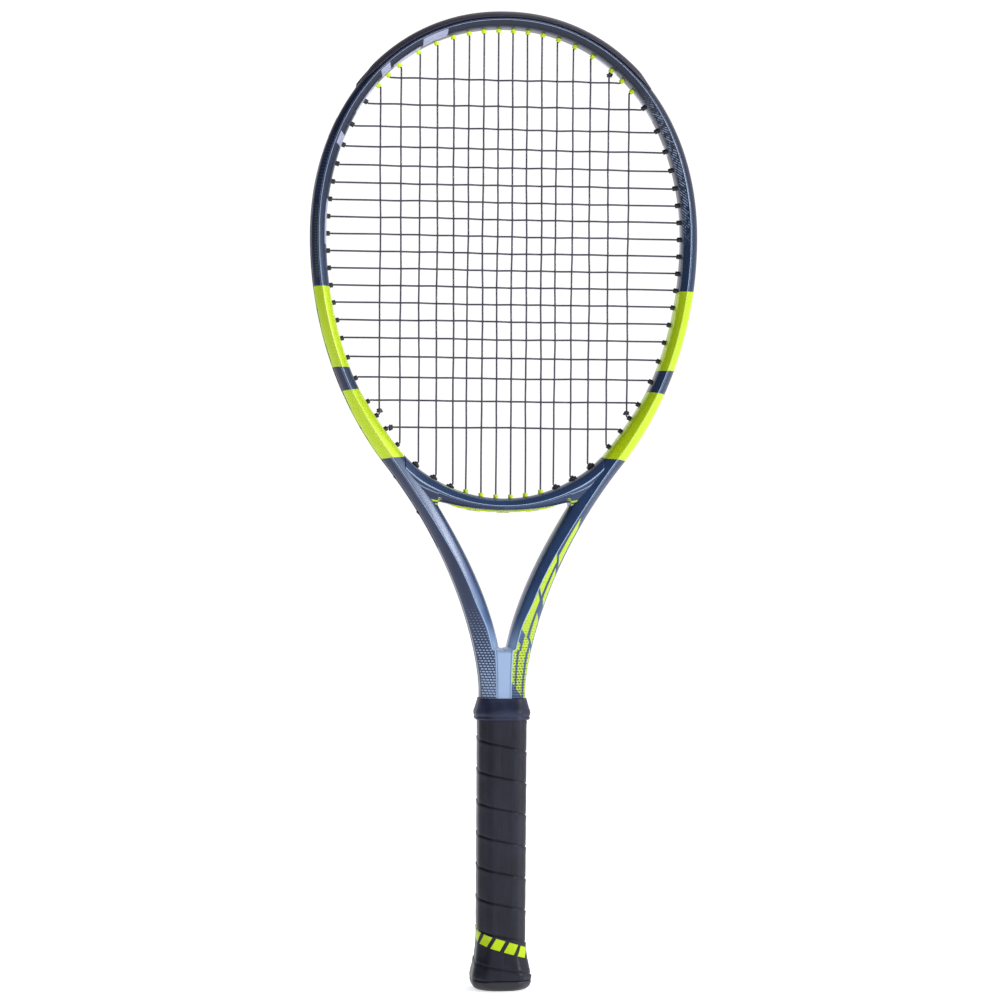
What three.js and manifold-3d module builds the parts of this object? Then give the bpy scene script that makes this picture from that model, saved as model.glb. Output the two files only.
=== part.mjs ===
// A 27 inch tennis racket: hollow frame, bridge, bumper guard, grommets, woven strings and a wrapped handle.
// Units are millimetres. +Z runs from the butt to the head, the strings lie in y = 0 and the front faces -Y.
import * as THREE from 'three';
import { mergeVertices } from 'three/addons/utils/BufferGeometryUtils.js';
import Module from 'manifold-3d';

const wasm = await Module();
wasm.setup();

// Driving dimensions: the whole racket. The head keeps its length, so a longer racket has a longer shaft.
const racketLength = 685.8;
const hoopHalfWidth = 136.7;
const hoopRoundness = 2.08;
const hoopWidestZ = racketLength - 157.8;
const yokeZ = racketLength - 317.1;
const yokeHalfWidth = hoopHalfWidth - 52.3;
const yokeLean = THREE.MathUtils.degToRad(38.5);
const bridgeTopZ = racketLength - 341.8;
const crotchZ = racketLength - 445.8;
const armEndZ = crotchZ - 30;
const gap = 0.3;

// How far the outline's curves hold their direction, as shares of their height
const cheekHold = 0.48;
const aboveYokeHold = 0.22;
const armHold = 0.63;
const shaftHold = 0.05;

// The tube: width in the string plane, and depth from front to back
const hoopTubeWidth = 11.4;
const yokeTubeWidth = 14;
const armTubeWidth = 17.3;
const joinedTubeWidth = 24;
const hoopTubeDepth = 23;
const throatTubeDepth = 26;
const shaftHalfWidth = 15.9;
const shaftTubeDepth = 24;
const tubeWall = 1.5;
const shaftWeb = 2.4;

// Where the corners of the tube's section lie, as shares of its width and depth
const shoulder = { inward: 0.16, out: 0.38 };
const crestInward = { hoop: 0.5, shaft: 0.7 };
const innerShoulder = { hoop: { inward: 0.9, out: 0.36 }, shaft: { inward: 0.97, out: 0.495 } };
const innerWall = { hoop: 0.2, shaft: 0.485 };

// Handle
const gripTopZ = 195;
const gripHalfWidth = 17.1;
const gripHalfDepth = 15.3;
const gripThickness = 1.8;
const gripBottomZ = 7.8;
const gripBevel = 8;
const flareTopZ = 37;
const flareOut = 3.9;
const foamTopZ = gripTopZ - 7;
const foamBottomZ = 5;
const capSleeveZ = 35;
const capWall = 3.2;
const capStep = 1;
const plugWidth = 13.4;
const plugDepth = 9.4;
const plugRecess = 0.4;
const stapleWidth = 10;
const stapleWire = 0.6;
const stapleHeight = 1.2;
const capStapleZ = 26;
const capStapleLeg = 3.6;
const gripStapleZ = 15;
const gripStapleLeg = 2.6;

// The tube inside the handle
const handleTubeTopZ = gripTopZ - 3;
const handleTubeHalfWidth = 12;
const handleTubeDepth = 18;
const handleTubeBottomZ = 6.5;

// The tape round the top of the grip, and the collar that slides up from it
const collarBottomZ = gripTopZ - 6;
const collarTopZ = gripTopZ + 9;
const collarWall = 1.2;
const collarSlack = 0.2;
const collarLip = { height: 3.5, wall: 0.6 };
const collarHem = { height: 2.6, wall: 0.8 };
const shaftBevel = 5.2;
const shaftFootZ = collarTopZ - 4;
const tapeThickness = 0.4;
const tapeTopZ = gripTopZ - 0.4;
const tapeBottomZ = collarBottomZ + 0.6;

// The groove that holds the grommet strips, and what lies in it
const grooveDepth = 2.6;
const grooveFade = 12;
const shallowGroove = 0.25;
const grooveHalfWidth = 4.4;
const lipHalfWidth = 6;
const grooveEndZ = crotchZ + 78;
const stripThickness = 0.9;
const bumperThickness = 1.4;
const bumperGrooveHalfWidth = 3.2;

// Strings. The crosses are set out from the inner wall at the top, and the last main leaves the hoop
// a set distance below the first cross.
const stringRadius = 0.65;
const mainCount = 16;
const crossCount = 19;
const lastMainDrop = 9.78;
const mainSpread = 0.03;
const crossMiddleZ = racketLength - hoopTubeWidth - 158.3;
const crossSpacing = 12.1;
const crossSpread = 2.65e-4;
const stringSides = 4;
const weave = 2 * stringRadius + gap + 0.02;
const loopSide = 1.65;
const knotRadius = 2 * stringRadius;
const mainKnotPlace = 3.2;
const crossKnotPlace = 1.5;

// Grommets
const barrelBore = stringRadius + 0.45;
const barrelRadius = barrelBore + 0.65;
const barrelReach = 2;
const barrelSides = 5;
const bridgeMains = 3;
const yokeMains = 3;
const yokeFlange = 5.6;
const flangeThickness = 1;
const yokeLeans = [46, 44, 50];

// The bridge: its upper side runs on from the inner wall of the hoop at the yoke, as one arc
const bridgeThickness = 8.5;
const bridgeBottomRadius = 170;
const bridgeDepth = 20;
const bridgeEndDepth = 23;
const bridgeGrooveDepth = 1.2;
const bridgeGrooveHalfWidth = 3.4;
const yokeInnerX = yokeHalfWidth - (yokeTubeWidth + 0.5) * Math.cos(yokeLean);
const yokeInnerRise = yokeZ + (yokeTubeWidth + 0.5) * Math.sin(yokeLean) - bridgeTopZ;
const bridgeTopRadius = (yokeInnerX ** 2 + yokeInnerRise ** 2) / (2 * yokeInnerRise);
const bridgeHalfLength = yokeInnerX - 13;
const bridgeSteps = 8;

// ---- Solids ----

const vec = (x, y, z) => new THREE.Vector3(x, y, z);
const { lerp, smoothstep, clamp } = THREE.MathUtils;

// A closed mesh as a manifold solid.
function solid(geometry) {
  const bare = geometry.clone();
  bare.deleteAttribute('normal');
  bare.deleteAttribute('uv');
  const merged = mergeVertices(bare, 1e-5);
  return new wasm.Manifold(new wasm.Mesh({
    numProp: 3,
    vertProperties: new Float32Array(merged.attributes.position.array),
    triVerts: new Uint32Array(merged.index.array),
  }));
}

// A skin over rings of equal length, closed by a flat cap at each end.
function loft(rings) {
  const count = rings[0].length;
  const index = [];
  const quad = (a, b, c, d) => index.push(a, b, c, a, c, d);
  for (let ring = 0; ring < rings.length - 1; ring += 1) {
    for (let i = 0; i < count; i += 1) {
      const j = (i + 1) % count;
      quad(ring * count + i, ring * count + j, (ring + 1) * count + j, (ring + 1) * count + i);
    }
  }
  const capFaces = (ring) => {
    const [origin] = ring;
    const far = ring.reduce((a, b) => (b.distanceTo(origin) > a.distanceTo(origin) ? b : a));
    const e1 = far.clone().sub(origin).normalize();
    const normal = vec(0, 0, 0);
    ring.forEach((p, i) => {
      const next = ring[(i + 1) % count].clone().sub(origin);
      normal.add(p.clone().sub(origin).cross(next));
    });
    const e2 = normal.normalize().clone().cross(e1);
    const flat = ring.map((p) => {
      const d = p.clone().sub(origin);
      return new THREE.Vector2(d.dot(e1), d.dot(e2));
    });
    return THREE.ShapeUtils.triangulateShape(flat, []);
  };
  const last = (rings.length - 1) * count;
  for (const [a, b, c] of capFaces(rings[0])) index.push(a, c, b);
  for (const [a, b, c] of capFaces(rings.at(-1))) index.push(last + a, last + b, last + c);
  const geometry = new THREE.BufferGeometry();
  const places = rings.flat().flatMap((p) => p.toArray());
  geometry.setAttribute('position', new THREE.Float32BufferAttribute(places, 3));
  geometry.setIndex(index);
  const body = solid(geometry);
  if (body.volume() > 0) return body;
  const flipped = geometry.clone();
  flipped.setIndex(index.map((_, i) => index[i - (i % 3) + 2 - (i % 3)]));
  return solid(flipped);
}

const mirror = (body) => body.mirror([1, 0, 0]);

// A prism with equal sides along the line from start to end.
function prism(start, end, radius, sides = barrelSides) {
  const along = end.clone().sub(start).normalize();
  const side = vec(0, 1, 0);
  const other = along.clone().cross(side).normalize();
  const ring = (centre) => Array.from({ length: sides }, (_, i) => {
    const a = (i * 2 * Math.PI) / sides;
    return centre.clone()
      .addScaledVector(side, radius * Math.cos(a))
      .addScaledVector(other, radius * Math.sin(a));
  });
  return loft([ring(start), ring(end)]);
}

// Circumradius of a prism whose flats lie a distance further out.
const grown = (radius, distance, sides = barrelSides) => radius + distance / Math.cos(Math.PI / sides);

// ---- Outline of the frame's outer edge, right half, from the top of the hoop to the end of the tube ----

class HoopTop extends THREE.Curve {
  getPoint(t) {
    const angle = (t * Math.PI) / 2;
    const top = racketLength - bumperThickness - gap;
    const power = 2 / hoopRoundness;
    return vec(
      hoopHalfWidth * Math.sin(angle) ** power,
      0,
      hoopWidestZ + (top - hoopWidestZ) * Math.cos(angle) ** power,
    );
  }
}

const yoke = vec(yokeHalfWidth, 0, yokeZ);
const yokeSlope = vec(Math.sin(yokeLean), 0, Math.cos(yokeLean));
const outline = new THREE.CurvePath();
outline.add(new HoopTop());
outline.add(new THREE.CubicBezierCurve3(
  vec(hoopHalfWidth, 0, hoopWidestZ),
  vec(hoopHalfWidth, 0, hoopWidestZ - cheekHold * (hoopWidestZ - yokeZ)),
  yoke.clone().addScaledVector(yokeSlope, aboveYokeHold * (hoopWidestZ - yokeZ)),
  yoke,
));
outline.add(new THREE.CubicBezierCurve3(
  yoke,
  yoke.clone().addScaledVector(yokeSlope, -armHold * (yokeZ - armEndZ)),
  vec(shaftHalfWidth, 0, armEndZ + shaftHold * (yokeZ - armEndZ)),
  vec(shaftHalfWidth, 0, armEndZ),
));
const shaftCorners = [
  [shaftHalfWidth, armEndZ],
  [shaftHalfWidth, shaftFootZ],
  [handleTubeHalfWidth, handleTubeTopZ],
  [handleTubeHalfWidth, handleTubeBottomZ],
].map(([x, z]) => vec(x, 0, z));
for (let i = 1; i < shaftCorners.length; i += 1) {
  outline.add(new THREE.LineCurve3(shaftCorners[i - 1], shaftCorners[i]));
}
const outlineLength = outline.getLength();
const curveEnds = outline.getCurveLengths();

// The point a distance along the outline, the normal into the tube, and the tube's section there.
function station(distance) {
  const point = outline.getPoint(clamp(distance / outlineLength, 0, 1));
  const before = outline.getPoint(clamp((distance - 0.5) / outlineLength, 0, 1));
  const after = outline.getPoint(clamp((distance + 0.5) / outlineLength, 0, 1));
  const tangent = after.sub(before).normalize();
  const inward = vec(tangent.z, 0, -tangent.x);
  if (distance <= 0) inward.set(0, 0, -1);
  if (point.z <= armEndZ) inward.set(-1, 0, 0);
  const { z } = point;
  const inShaft = 1 - smoothstep(z, crotchZ - 6, crotchZ + 14);
  let width = lerp(yokeTubeWidth, hoopTubeWidth, smoothstep(z, yokeZ, yokeZ + 60));
  width = lerp(armTubeWidth, width, smoothstep(z, crotchZ, yokeZ - 30));
  width = lerp(width, joinedTubeWidth, inShaft);
  let depth = lerp(throatTubeDepth, hoopTubeDepth, smoothstep(z, yokeZ, hoopWidestZ));
  depth = lerp(shaftTubeDepth, depth, smoothstep(z, armEndZ, yokeZ - 60));
  depth = lerp(handleTubeDepth, depth, clamp((z - handleTubeTopZ) / (shaftFootZ - handleTubeTopZ), 0, 1));
  const groove = Math.max(shallowGroove, grooveDepth * smoothstep(z, grooveEndZ - grooveFade, grooveEndZ));
  const crest = lerp(crestInward.hoop, crestInward.shaft, inShaft);
  return { distance, point, inward, width: z <= armEndZ ? point.x : width, depth, groove, crest, inShaft };
}

// A point of a station's section: u into the tube from its outer edge, y front to back.
// It never passes the middle.
function sectionPoint(at, u, y, least = 0) {
  const p = at.point.clone().addScaledVector(at.inward, u);
  return vec(Math.max(p.x, least), y, p.z);
}

// The width of the tube where it has room, and all that is left to the middle where the two legs meet.
const roomAt = (at) => Math.min(at.width, at.point.x / Math.max(-at.inward.x, 1e-3) + 1e-3);

// The outer section, as the back half of its points from the groove to the inner wall.
function tubeSection(at) {
  const w = at.point.x === 0 ? at.width : roomAt(at);
  const { hoop, shaft } = innerShoulder;
  return [
    [at.groove, grooveHalfWidth],
    [0, grooveHalfWidth],
    [0, lipHalfWidth],
    [shoulder.inward * w, shoulder.out * at.depth],
    [at.crest * w, at.depth / 2],
    [lerp(hoop.inward, shaft.inward, at.inShaft) * w, lerp(hoop.out, shaft.out, at.inShaft) * at.depth],
    [w, lerp(innerWall.hoop, innerWall.shaft, at.inShaft) * at.depth],
  ];
}

// The same tube filled and grown by the gap, which cuts room for it out of its neighbours.
function grownSection(at) {
  const [, , lip, outer, crest, inner, wall] = tubeSection(at);
  return [
    [-gap, lip[1]],
    [outer[0] - gap, outer[1] + gap],
    [crest[0], crest[1] + gap],
    [inner[0] + gap, inner[1] + gap],
    [wall[0] + gap, wall[1] + gap],
  ];
}

function hollowSection(at) {
  const w = at.point.x === 0 ? at.width : roomAt(at);
  return [
    [at.groove + tubeWall, lipHalfWidth - 1],
    [Math.min(at.crest * w, w - tubeWall - 0.4), at.depth / 2 - 1.5 * tubeWall],
    [w - tubeWall, innerWall.hoop * at.depth],
  ];
}

function ringOf(at, halfSection, least) {
  const back = halfSection.map(([u, y]) => sectionPoint(at, u, y, least));
  const front = halfSection.map(([u, y]) => sectionPoint(at, u, -y, least)).reverse();
  return [...back, ...front];
}

// ---- Where the strings leave the hoop ----

const mainsPerSide = mainCount / 2;
const crossZ = (j) => {
  const n = (crossCount + 1) / 2 - j;
  return crossMiddleZ + crossSpacing * n + crossSpread * n ** 5;
};

// The distance along the outline, between two limits, where a measure changes sign.
function findHole(miss, low, high) {
  let [a, b] = [low, high];
  const startSign = Math.sign(miss(a));
  for (let step = 0; step < 50; step += 1) {
    const middle = (a + b) / 2;
    if (Math.sign(miss(middle)) === startSign) a = middle;
    else b = middle;
  }
  return (a + b) / 2;
}

const innerWallAt = (distance) => {
  const at = station(distance);
  return at.point.clone().addScaledVector(at.inward, at.width);
};

const cheek = curveEnds[0];
const pastYoke = 20;
const hoopEnd = curveEnds[1] + pastYoke;

const lastMainZ = crossZ(1) - lastMainDrop;
const lastMainX = innerWallAt(findHole((s) => innerWallAt(s).z - lastMainZ, 0, cheek)).x;
const mainSpacing = lastMainX / (mainsPerSide - 0.5) - mainSpread * (mainsPerSide - 0.5) ** 2;
const mainOffset = (i) => mainSpacing * (i - 0.5) + mainSpread * (i - 0.5) ** 3;

function frameHole(kind, number, low, high) {
  const target = kind === 'main' ? mainOffset(number) : crossZ(number);
  const axis = kind === 'main' ? 'x' : 'z';
  const distance = findHole((s) => innerWallAt(s)[axis] - target, low, high);
  const at = station(distance);
  const outward = at.inward.clone().negate();
  return { kind, number, distance, outward, width: at.width, groove: at.groove, floor: at.point.clone() };
}

const headMains = Array.from({ length: mainsPerSide }, (_, i) => frameHole('main', i + 1, 0, cheek));
const crosses = Array.from({ length: crossCount }, (_, j) => frameHole('cross', j + 1, 0, hoopEnd));
const lowMains = Array.from(
  { length: mainsPerSide - bridgeMains - yokeMains },
  (_, i) => frameHole('main', bridgeMains + yokeMains + 1 + i, cheek, hoopEnd),
);

const headStripEnd = (headMains.at(-1).distance + crosses[1].distance) / 2;
const stripTail = 7;
const sideStripEnd = Math.max(...lowMains.map((hole) => hole.distance)) + stripTail;

// ---- Frame stations ----

const stationStep = 19;
const stations = [];
function addStation(distance) {
  if (!stations.some((s) => Math.abs(s - distance) < 0.2)) stations.push(distance);
}
[0, headStripEnd - gap, headStripEnd + gap, sideStripEnd, outlineLength].forEach(addStation);
curveEnds.slice(2, 5).forEach(addStation);
const freeEnd = curveEnds[2];
const freeCount = Math.round(freeEnd / stationStep);
for (let i = 1; i < freeCount; i += 1) {
  const distance = (freeEnd * i) / freeCount;
  if (!stations.some((s) => Math.abs(s - distance) < 4)) stations.push(distance);
}
stations.sort((a, b) => a - b);

function wholeTube(section, web = 0, below = 0) {
  const rings = stations.map((s) => {
    const at = station(s);
    return ringOf(at, section(at), at.point.z < crotchZ + 20 ? web : 0);
  });
  if (below > 0) rings.push(rings.at(-1).map((p) => vec(p.x, p.y, p.z - below)));
  const half = loft(rings);
  return half.add(mirror(half));
}

// ---- Grommet barrels ----

const bedLow = (x) => bridgeTopZ + bridgeTopRadius - Math.sqrt(bridgeTopRadius ** 2 - x ** 2);
const bridgeLow = (x) => bridgeTopZ - bridgeThickness
  + bridgeBottomRadius - Math.sqrt(bridgeBottomRadius ** 2 - x ** 2);

// Every hole has an inner end (tip), an outer end (seat) and a line between them that points outward.
function hoopBarrel(hole) {
  const under = hole.distance < headStripEnd ? stripThickness + gap : 0;
  const top = hole.groove - gap - under - stripThickness;
  return {
    ...hole,
    tip: hole.floor.clone().addScaledVector(hole.outward, -hole.width - barrelReach),
    seat: hole.floor.clone().addScaledVector(hole.outward, -top),
    wall: hole.floor.clone().addScaledVector(hole.outward, -hole.width),
  };
}

function bridgeBarrel(number) {
  const x = mainOffset(number);
  const outward = vec(0, 0, -1);
  const lean = Math.asin(x / bridgeBottomRadius);
  return {
    kind: 'main',
    number,
    outward,
    normal: vec(Math.sin(lean), 0, -Math.cos(lean)),
    tip: vec(x, 0, bedLow(x) + barrelReach),
    seat: vec(x, 0, bridgeLow(x) + bridgeGrooveDepth - gap - stripThickness),
    wall: vec(x, 0, bedLow(x)),
  };
}

// The yoke barrels lean out from the bed to the outside of the arms.
function yokeBarrel(number) {
  const x = mainOffset(number);
  const lean = THREE.MathUtils.degToRad(yokeLeans[number - bridgeMains - 1]);
  const outward = vec(Math.sin(lean), 0, -Math.cos(lean));
  const wall = vec(x, 0, bedLow(x) + 0.4).addScaledVector(outward, 0.5);
  const reach = (s) => wall.clone().addScaledVector(outward, s);
  const side = (distance) => {
    const p = outline.getPoint(distance / outlineLength);
    return p.sub(wall).cross(outward).y;
  };
  const distance = findHole(side, curveEnds[1] - 30, curveEnds[2] - 60);
  const at = station(distance);
  const depth = at.groove / Math.abs(at.inward.dot(outward));
  const length = at.point.distanceTo(wall) - depth + 0.6;
  const [tip, seat] = [reach(-barrelReach), reach(length + stripThickness)];
  return { kind: 'main', number, outward, distance, at, wall, tip, seat };
}

const range = (from, to) => Array.from({ length: to - from + 1 }, (_, i) => from + i);
const headBarrels = [...headMains, crosses[0]].map(hoopBarrel);
const sideBarrels = [...crosses.slice(1), ...lowMains].map(hoopBarrel);
const bridgeBarrels = range(1, bridgeMains).map(bridgeBarrel);
const yokeBarrels = range(bridgeMains + 1, bridgeMains + yokeMains).map(yokeBarrel);

const cutFor = (barrel, radius) => prism(
  barrel.tip.clone().addScaledVector(barrel.outward, -2),
  barrel.seat.clone().addScaledVector(barrel.outward, 8),
  radius,
);
const both = (bodies) => wasm.Manifold.union([...bodies, ...bodies.map(mirror)]);
const clearRadius = grown(barrelRadius, gap);
const bores = (barrels) => both(barrels.map((barrel) => cutFor(barrel, barrelBore)));
const openings = (barrels) => both(barrels.map((barrel) => cutFor(barrel, clearRadius)));
const postOf = (barrel) => prism(
  barrel.tip,
  barrel.seat.clone().addScaledVector(barrel.outward, -stripThickness / 2),
  barrelRadius,
);
const posts = (barrels) => both(barrels.map(postOf));

// ---- Frame ----

const frame = wholeTube(tubeSection)
  .subtract(wholeTube(hollowSection, shaftWeb / 2, 5))
  .subtract(openings([...headBarrels, ...sideBarrels, ...yokeBarrels]));

// ---- Bridge ----

const bridgePlaces = range(-bridgeSteps, bridgeSteps).map((i) => (i * bridgeHalfLength) / bridgeSteps);
const bridgeStripHalfLength = mainOffset(bridgeMains + 1) + 6.3;
const bridgeRing = (x, half) => {
  const front = half.map(([z, y]) => [z, -y]).reverse();
  return [...half, ...front].map(([z, y]) => vec(x, y, z));
};

function bridgeSection(x) {
  const top = bedLow(x);
  const low = bridgeLow(x);
  const depth = lerp(bridgeDepth, bridgeEndDepth, Math.abs(x) / bridgeHalfLength);
  return bridgeRing(x, [
    [top, 0.2 * depth],
    [lerp(low, top, 0.78), 0.43 * depth],
    [lerp(low, top, 0.4), 0.5 * depth],
    [low, 0.34 * depth],
    [low, bridgeGrooveHalfWidth],
    [low + bridgeGrooveDepth, bridgeGrooveHalfWidth],
  ]);
}

function bridgeHollow(x) {
  const top = bedLow(x) - tubeWall;
  const low = bridgeLow(x) + bridgeGrooveDepth + tubeWall;
  return bridgeRing(x, [
    [top, 0.16 * bridgeDepth],
    [(top + low) / 2, 0.36 * bridgeDepth],
    [low, 0.2 * bridgeDepth],
  ]);
}

function bridgeStripSection(x) {
  const bottom = bridgeLow(x) + bridgeGrooveDepth - gap;
  const half = bridgeGrooveHalfWidth - gap;
  return bridgeRing(x, [[bottom, half], [bottom - stripThickness, half]]);
}

const grownTube = wholeTube(grownSection, 0, 8);
const bridge = loft(bridgePlaces.map(bridgeSection))
  .subtract(loft(bridgePlaces.filter((x) => Math.abs(x) < bridgeHalfLength - 20).map(bridgeHollow)))
  .subtract(grownTube)
  .subtract(openings([...bridgeBarrels, ...yokeBarrels]));

// ---- Grommet strips and bumper guard ----

const between = (from, to) => stations.filter((s) => s >= from - 0.01 && s <= to + 0.01);
const halfBand = (section, from, to) => loft(between(from, to).map((s) => {
  const at = station(s);
  return ringOf(at, section(at));
}));

const stripSection = (under, half) => (at) => [
  [at.groove - gap - under, half],
  [at.groove - gap - under - stripThickness, half],
];

// The guard lies in the groove and folds out over both lips of the tube.
function bumperSection(at) {
  const [, , lip, outer] = tubeSection(at);
  const slope = new THREE.Vector2(outer[0] - lip[0], outer[1] - lip[1]).normalize();
  const off = (base, distance) => [base[0] - slope.y * distance, base[1] + slope.x * distance];
  const inner = gap + bumperThickness;
  const foot = at.groove - gap;
  return [
    [foot, grooveHalfWidth - gap],
    [-gap, grooveHalfWidth - gap],
    [-gap, lip[1] + 0.15],
    off(outer, gap),
    off(outer, inner),
    [-inner, lip[1] + 0.5],
    [-inner, bumperGrooveHalfWidth],
    [foot - stripThickness, bumperGrooveHalfWidth],
  ];
}

const headBandSection = stripSection(stripThickness + gap, bumperGrooveHalfWidth - gap);
const headBand = halfBand(headBandSection, 0, headStripEnd - gap);
const headStrip = headBand.add(mirror(headBand)).add(posts(headBarrels)).subtract(bores(headBarrels));

const rightOnly = (bodies) => wasm.Manifold.union(bodies);
const sideStrip = halfBand(stripSection(0, grooveHalfWidth - gap), headStripEnd + gap, sideStripEnd)
  .add(rightOnly(sideBarrels.map(postOf)))
  .subtract(rightOnly(sideBarrels.map((barrel) => cutFor(barrel, barrelBore))));

const bumperHalf = halfBand(bumperSection, 0, headStripEnd - gap);
const bumper = bumperHalf.add(mirror(bumperHalf)).subtract(openings(headBarrels));

const bridgeStripPlaces = bridgePlaces.filter((x) => Math.abs(x) < bridgeStripHalfLength);
const bridgeStrip = loft(bridgeStripPlaces.map(bridgeStripSection))
  .add(posts(bridgeBarrels))
  .subtract(bores(bridgeBarrels));

// A single grommet: a long barrel through the yoke, with a square flange on the inside of the hoop.
function yokeGrommet(barrel) {
  const x = mainOffset(barrel.number);
  const bed = vec(x, 0, bedLow(x));
  const inward = vec(0, 0, bridgeTopZ + bridgeTopRadius).sub(bed).normalize();
  const layer = (height) => bed.clone().addScaledVector(inward, height);
  const seat = gap + 0.1;
  const flange = prism(layer(seat), layer(seat + flangeThickness), yokeFlange / Math.SQRT2, 4);
  return postOf(barrel).add(flange).subtract(cutFor(barrel, barrelBore));
}

// ---- Strings ----

// A path that is read only at its own points, so that every bend has a ring.
class BentPath extends THREE.Curve {
  constructor(points) {
    super();
    this.points = points;
  }

  getPointAt(u, target = vec(0, 0, 0)) {
    return target.copy(this.points[Math.round(u * (this.points.length - 1))]);
  }

  getTangentAt(u, target = vec(0, 0, 0)) {
    const i = Math.round(u * (this.points.length - 1));
    const here = this.points[i];
    const next = this.points[Math.min(i + 1, this.points.length - 1)];
    const last = this.points[Math.max(i - 1, 0)];
    const ahead = next.clone().sub(here).normalize();
    return target.copy(here).sub(last).normalize().add(ahead).normalize();
  }
}

function stringAlong(points) {
  const round = new THREE.Shape(range(0, stringSides - 1).map((i) => {
    const a = (i * 2 * Math.PI) / stringSides;
    return new THREE.Vector2(stringRadius * Math.cos(a), stringRadius * Math.sin(a));
  }));
  const settings = { extrudePath: new BentPath(points), steps: points.length - 1, curveSegments: 1 };
  return solid(new THREE.ExtrudeGeometry(round, settings));
}

const rise = stringRadius + gap;
const bendPoint = (barrel) => barrel.tip.clone().addScaledVector(barrel.outward, -0.8);

// From the bed out through a barrel and down into the groove, heading for another barrel.
function wayOut(barrel, next, side) {
  const normal = barrel.normal ?? barrel.outward;
  const along = next.clone().sub(barrel.seat);
  along.addScaledVector(normal, -along.dot(normal)).normalize();
  const out = (height, run, y) => barrel.seat.clone()
    .addScaledVector(barrel.outward, height)
    .addScaledVector(along, run)
    .add(vec(0, y, 0));
  return [bendPoint(barrel), out(0.35, 0, 0), out(rise, 0.9, 0), out(rise, 3, side)];
}

// Stations of the groove that a loop passes on its way, at the height of the strip below it.
function alongGroove(a, b, side) {
  const [from, to] = [a.distance, b.distance];
  if (from === undefined || to === undefined) return [];
  const passed = between(Math.min(from, to) + 3.6, Math.max(from, to) - 3.6).map((s) => {
    const at = station(s);
    const under = s < headStripEnd + 2 ? stripThickness + gap : 0;
    const height = at.groove - gap - under - stripThickness - rise;
    return at.point.clone().addScaledVector(at.inward, height).add(vec(0, side, 0));
  });
  return from < to ? passed : passed.reverse();
}

const flip = (p) => vec(-p.x, p.y, p.z);
const loop = (a, b, side) => [
  ...wayOut(a, b.seat, side), ...alongGroove(a, b, side), ...wayOut(b, a.seat, side).reverse(),
];

// Mains: the right half from the middle of the bridge, and its mirror image.
const mainTops = headBarrels.slice(0, mainsPerSide);
const mainLows = [...bridgeBarrels, ...yokeBarrels, ...sideBarrels.slice(crossCount - 1)];
const crossBarrels = [headBarrels.at(-1), ...sideBarrels.slice(0, crossCount - 1)];

const crossesOf = (i) => range(1, crossCount).filter((j) => {
  const side = bendPoint(crossBarrels[j - 1]).x - 1;
  const top = bendPoint(mainTops[i - 1]).z - 1;
  const bottom = bendPoint(mainLows[i - 1]).z + 1;
  return mainOffset(i) < side && crossZ(j) < top && crossZ(j) > bottom;
});

function bedRun(i) {
  const met = crossesOf(i);
  return [met.at(-1), met[0]].map((j) => vec(mainOffset(i), 0, crossZ(j)));
}

const mainHalf = [];
for (let i = 1; i <= mainsPerSide; i += 1) {
  const [low, high] = [mainLows[i - 1], mainTops[i - 1]];
  if (i === 1) mainHalf.push(...wayOut(low, vec(0, 0, low.seat.z), loopSide).reverse());
  const upward = i % 2 === 1;
  mainHalf.push(...(upward ? bedRun(i) : bedRun(i).reverse()));
  if (i < mainsPerSide) {
    const ends = upward ? [high, mainTops[i]] : [low, mainLows[i]];
    mainHalf.push(...loop(...ends, loopSide));
  } else {
    mainHalf.push(...wayOut(low, mainLows[i - 2].seat, loopSide));
  }
}
const mainPath = [...mainHalf.map(flip).reverse(), ...mainHalf];

// Crosses: over and under the mains, from the right side of the first to the left side of the last.
const mainPlaces = range(1, mainsPerSide)
  .flatMap((i) => [-mainOffset(i), mainOffset(i)])
  .sort((a, b) => b - a);
const crossPath = [];
for (let j = 1; j <= crossCount; j += 1) {
  const barrel = crossBarrels[j - 1];
  const leftward = j % 2 === 1;
  const woven = mainPlaces
    .map((x, i) => vec(x, weave * (-1) ** (i + j), crossZ(j)))
    .filter((p) => Math.abs(p.x) < bendPoint(barrel).x - 1);
  if (j === 1) crossPath.push(...wayOut(barrel, crossBarrels[1].seat, -loopSide).reverse());
  crossPath.push(...(leftward ? woven : woven.reverse()));
  if (j < crossCount) {
    const turn = loop(barrel, crossBarrels[j], -loopSide);
    crossPath.push(...(leftward ? turn.map(flip) : turn));
  } else {
    crossPath.push(...wayOut(barrel, crossBarrels[j - 2].seat, -loopSide).map(flip));
  }
}

function knotAt(barrel, toward, distance) {
  const start = bendPoint(barrel);
  const place = start.clone().addScaledVector(toward.clone().sub(start).normalize(), distance);
  const ball = new THREE.SphereGeometry(knotRadius, 6, 4);
  ball.translate(place.x, place.y, place.z);
  return solid(ball);
}

const lastMain = mainLows.at(-1);
const mainKnot = knotAt(lastMain, bedRun(mainsPerSide)[0], mainKnotPlace);
const mainString = stringAlong(mainPath).add(mainKnot).add(mirror(mainKnot));
const firstKnot = knotAt(crossBarrels[0], vec(0, 0, crossZ(1)), crossKnotPlace);
const lastKnot = mirror(knotAt(crossBarrels.at(-1), vec(0, 0, crossZ(crossCount)), crossKnotPlace));
const crossString = stringAlong(crossPath).add(firstKnot).add(lastKnot);

// ---- Handle ----

function octagon(halfX, halfY, z, bevel) {
  const [x, y] = [halfX - bevel, halfY - bevel];
  const right = [[x, -halfY], [halfX, -y], [halfX, y], [x, halfY]];
  const left = right.map(([a, b]) => [-a, b]).reverse();
  return [...right, ...left].map(([a, b]) => vec(a, b, z));
}

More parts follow.
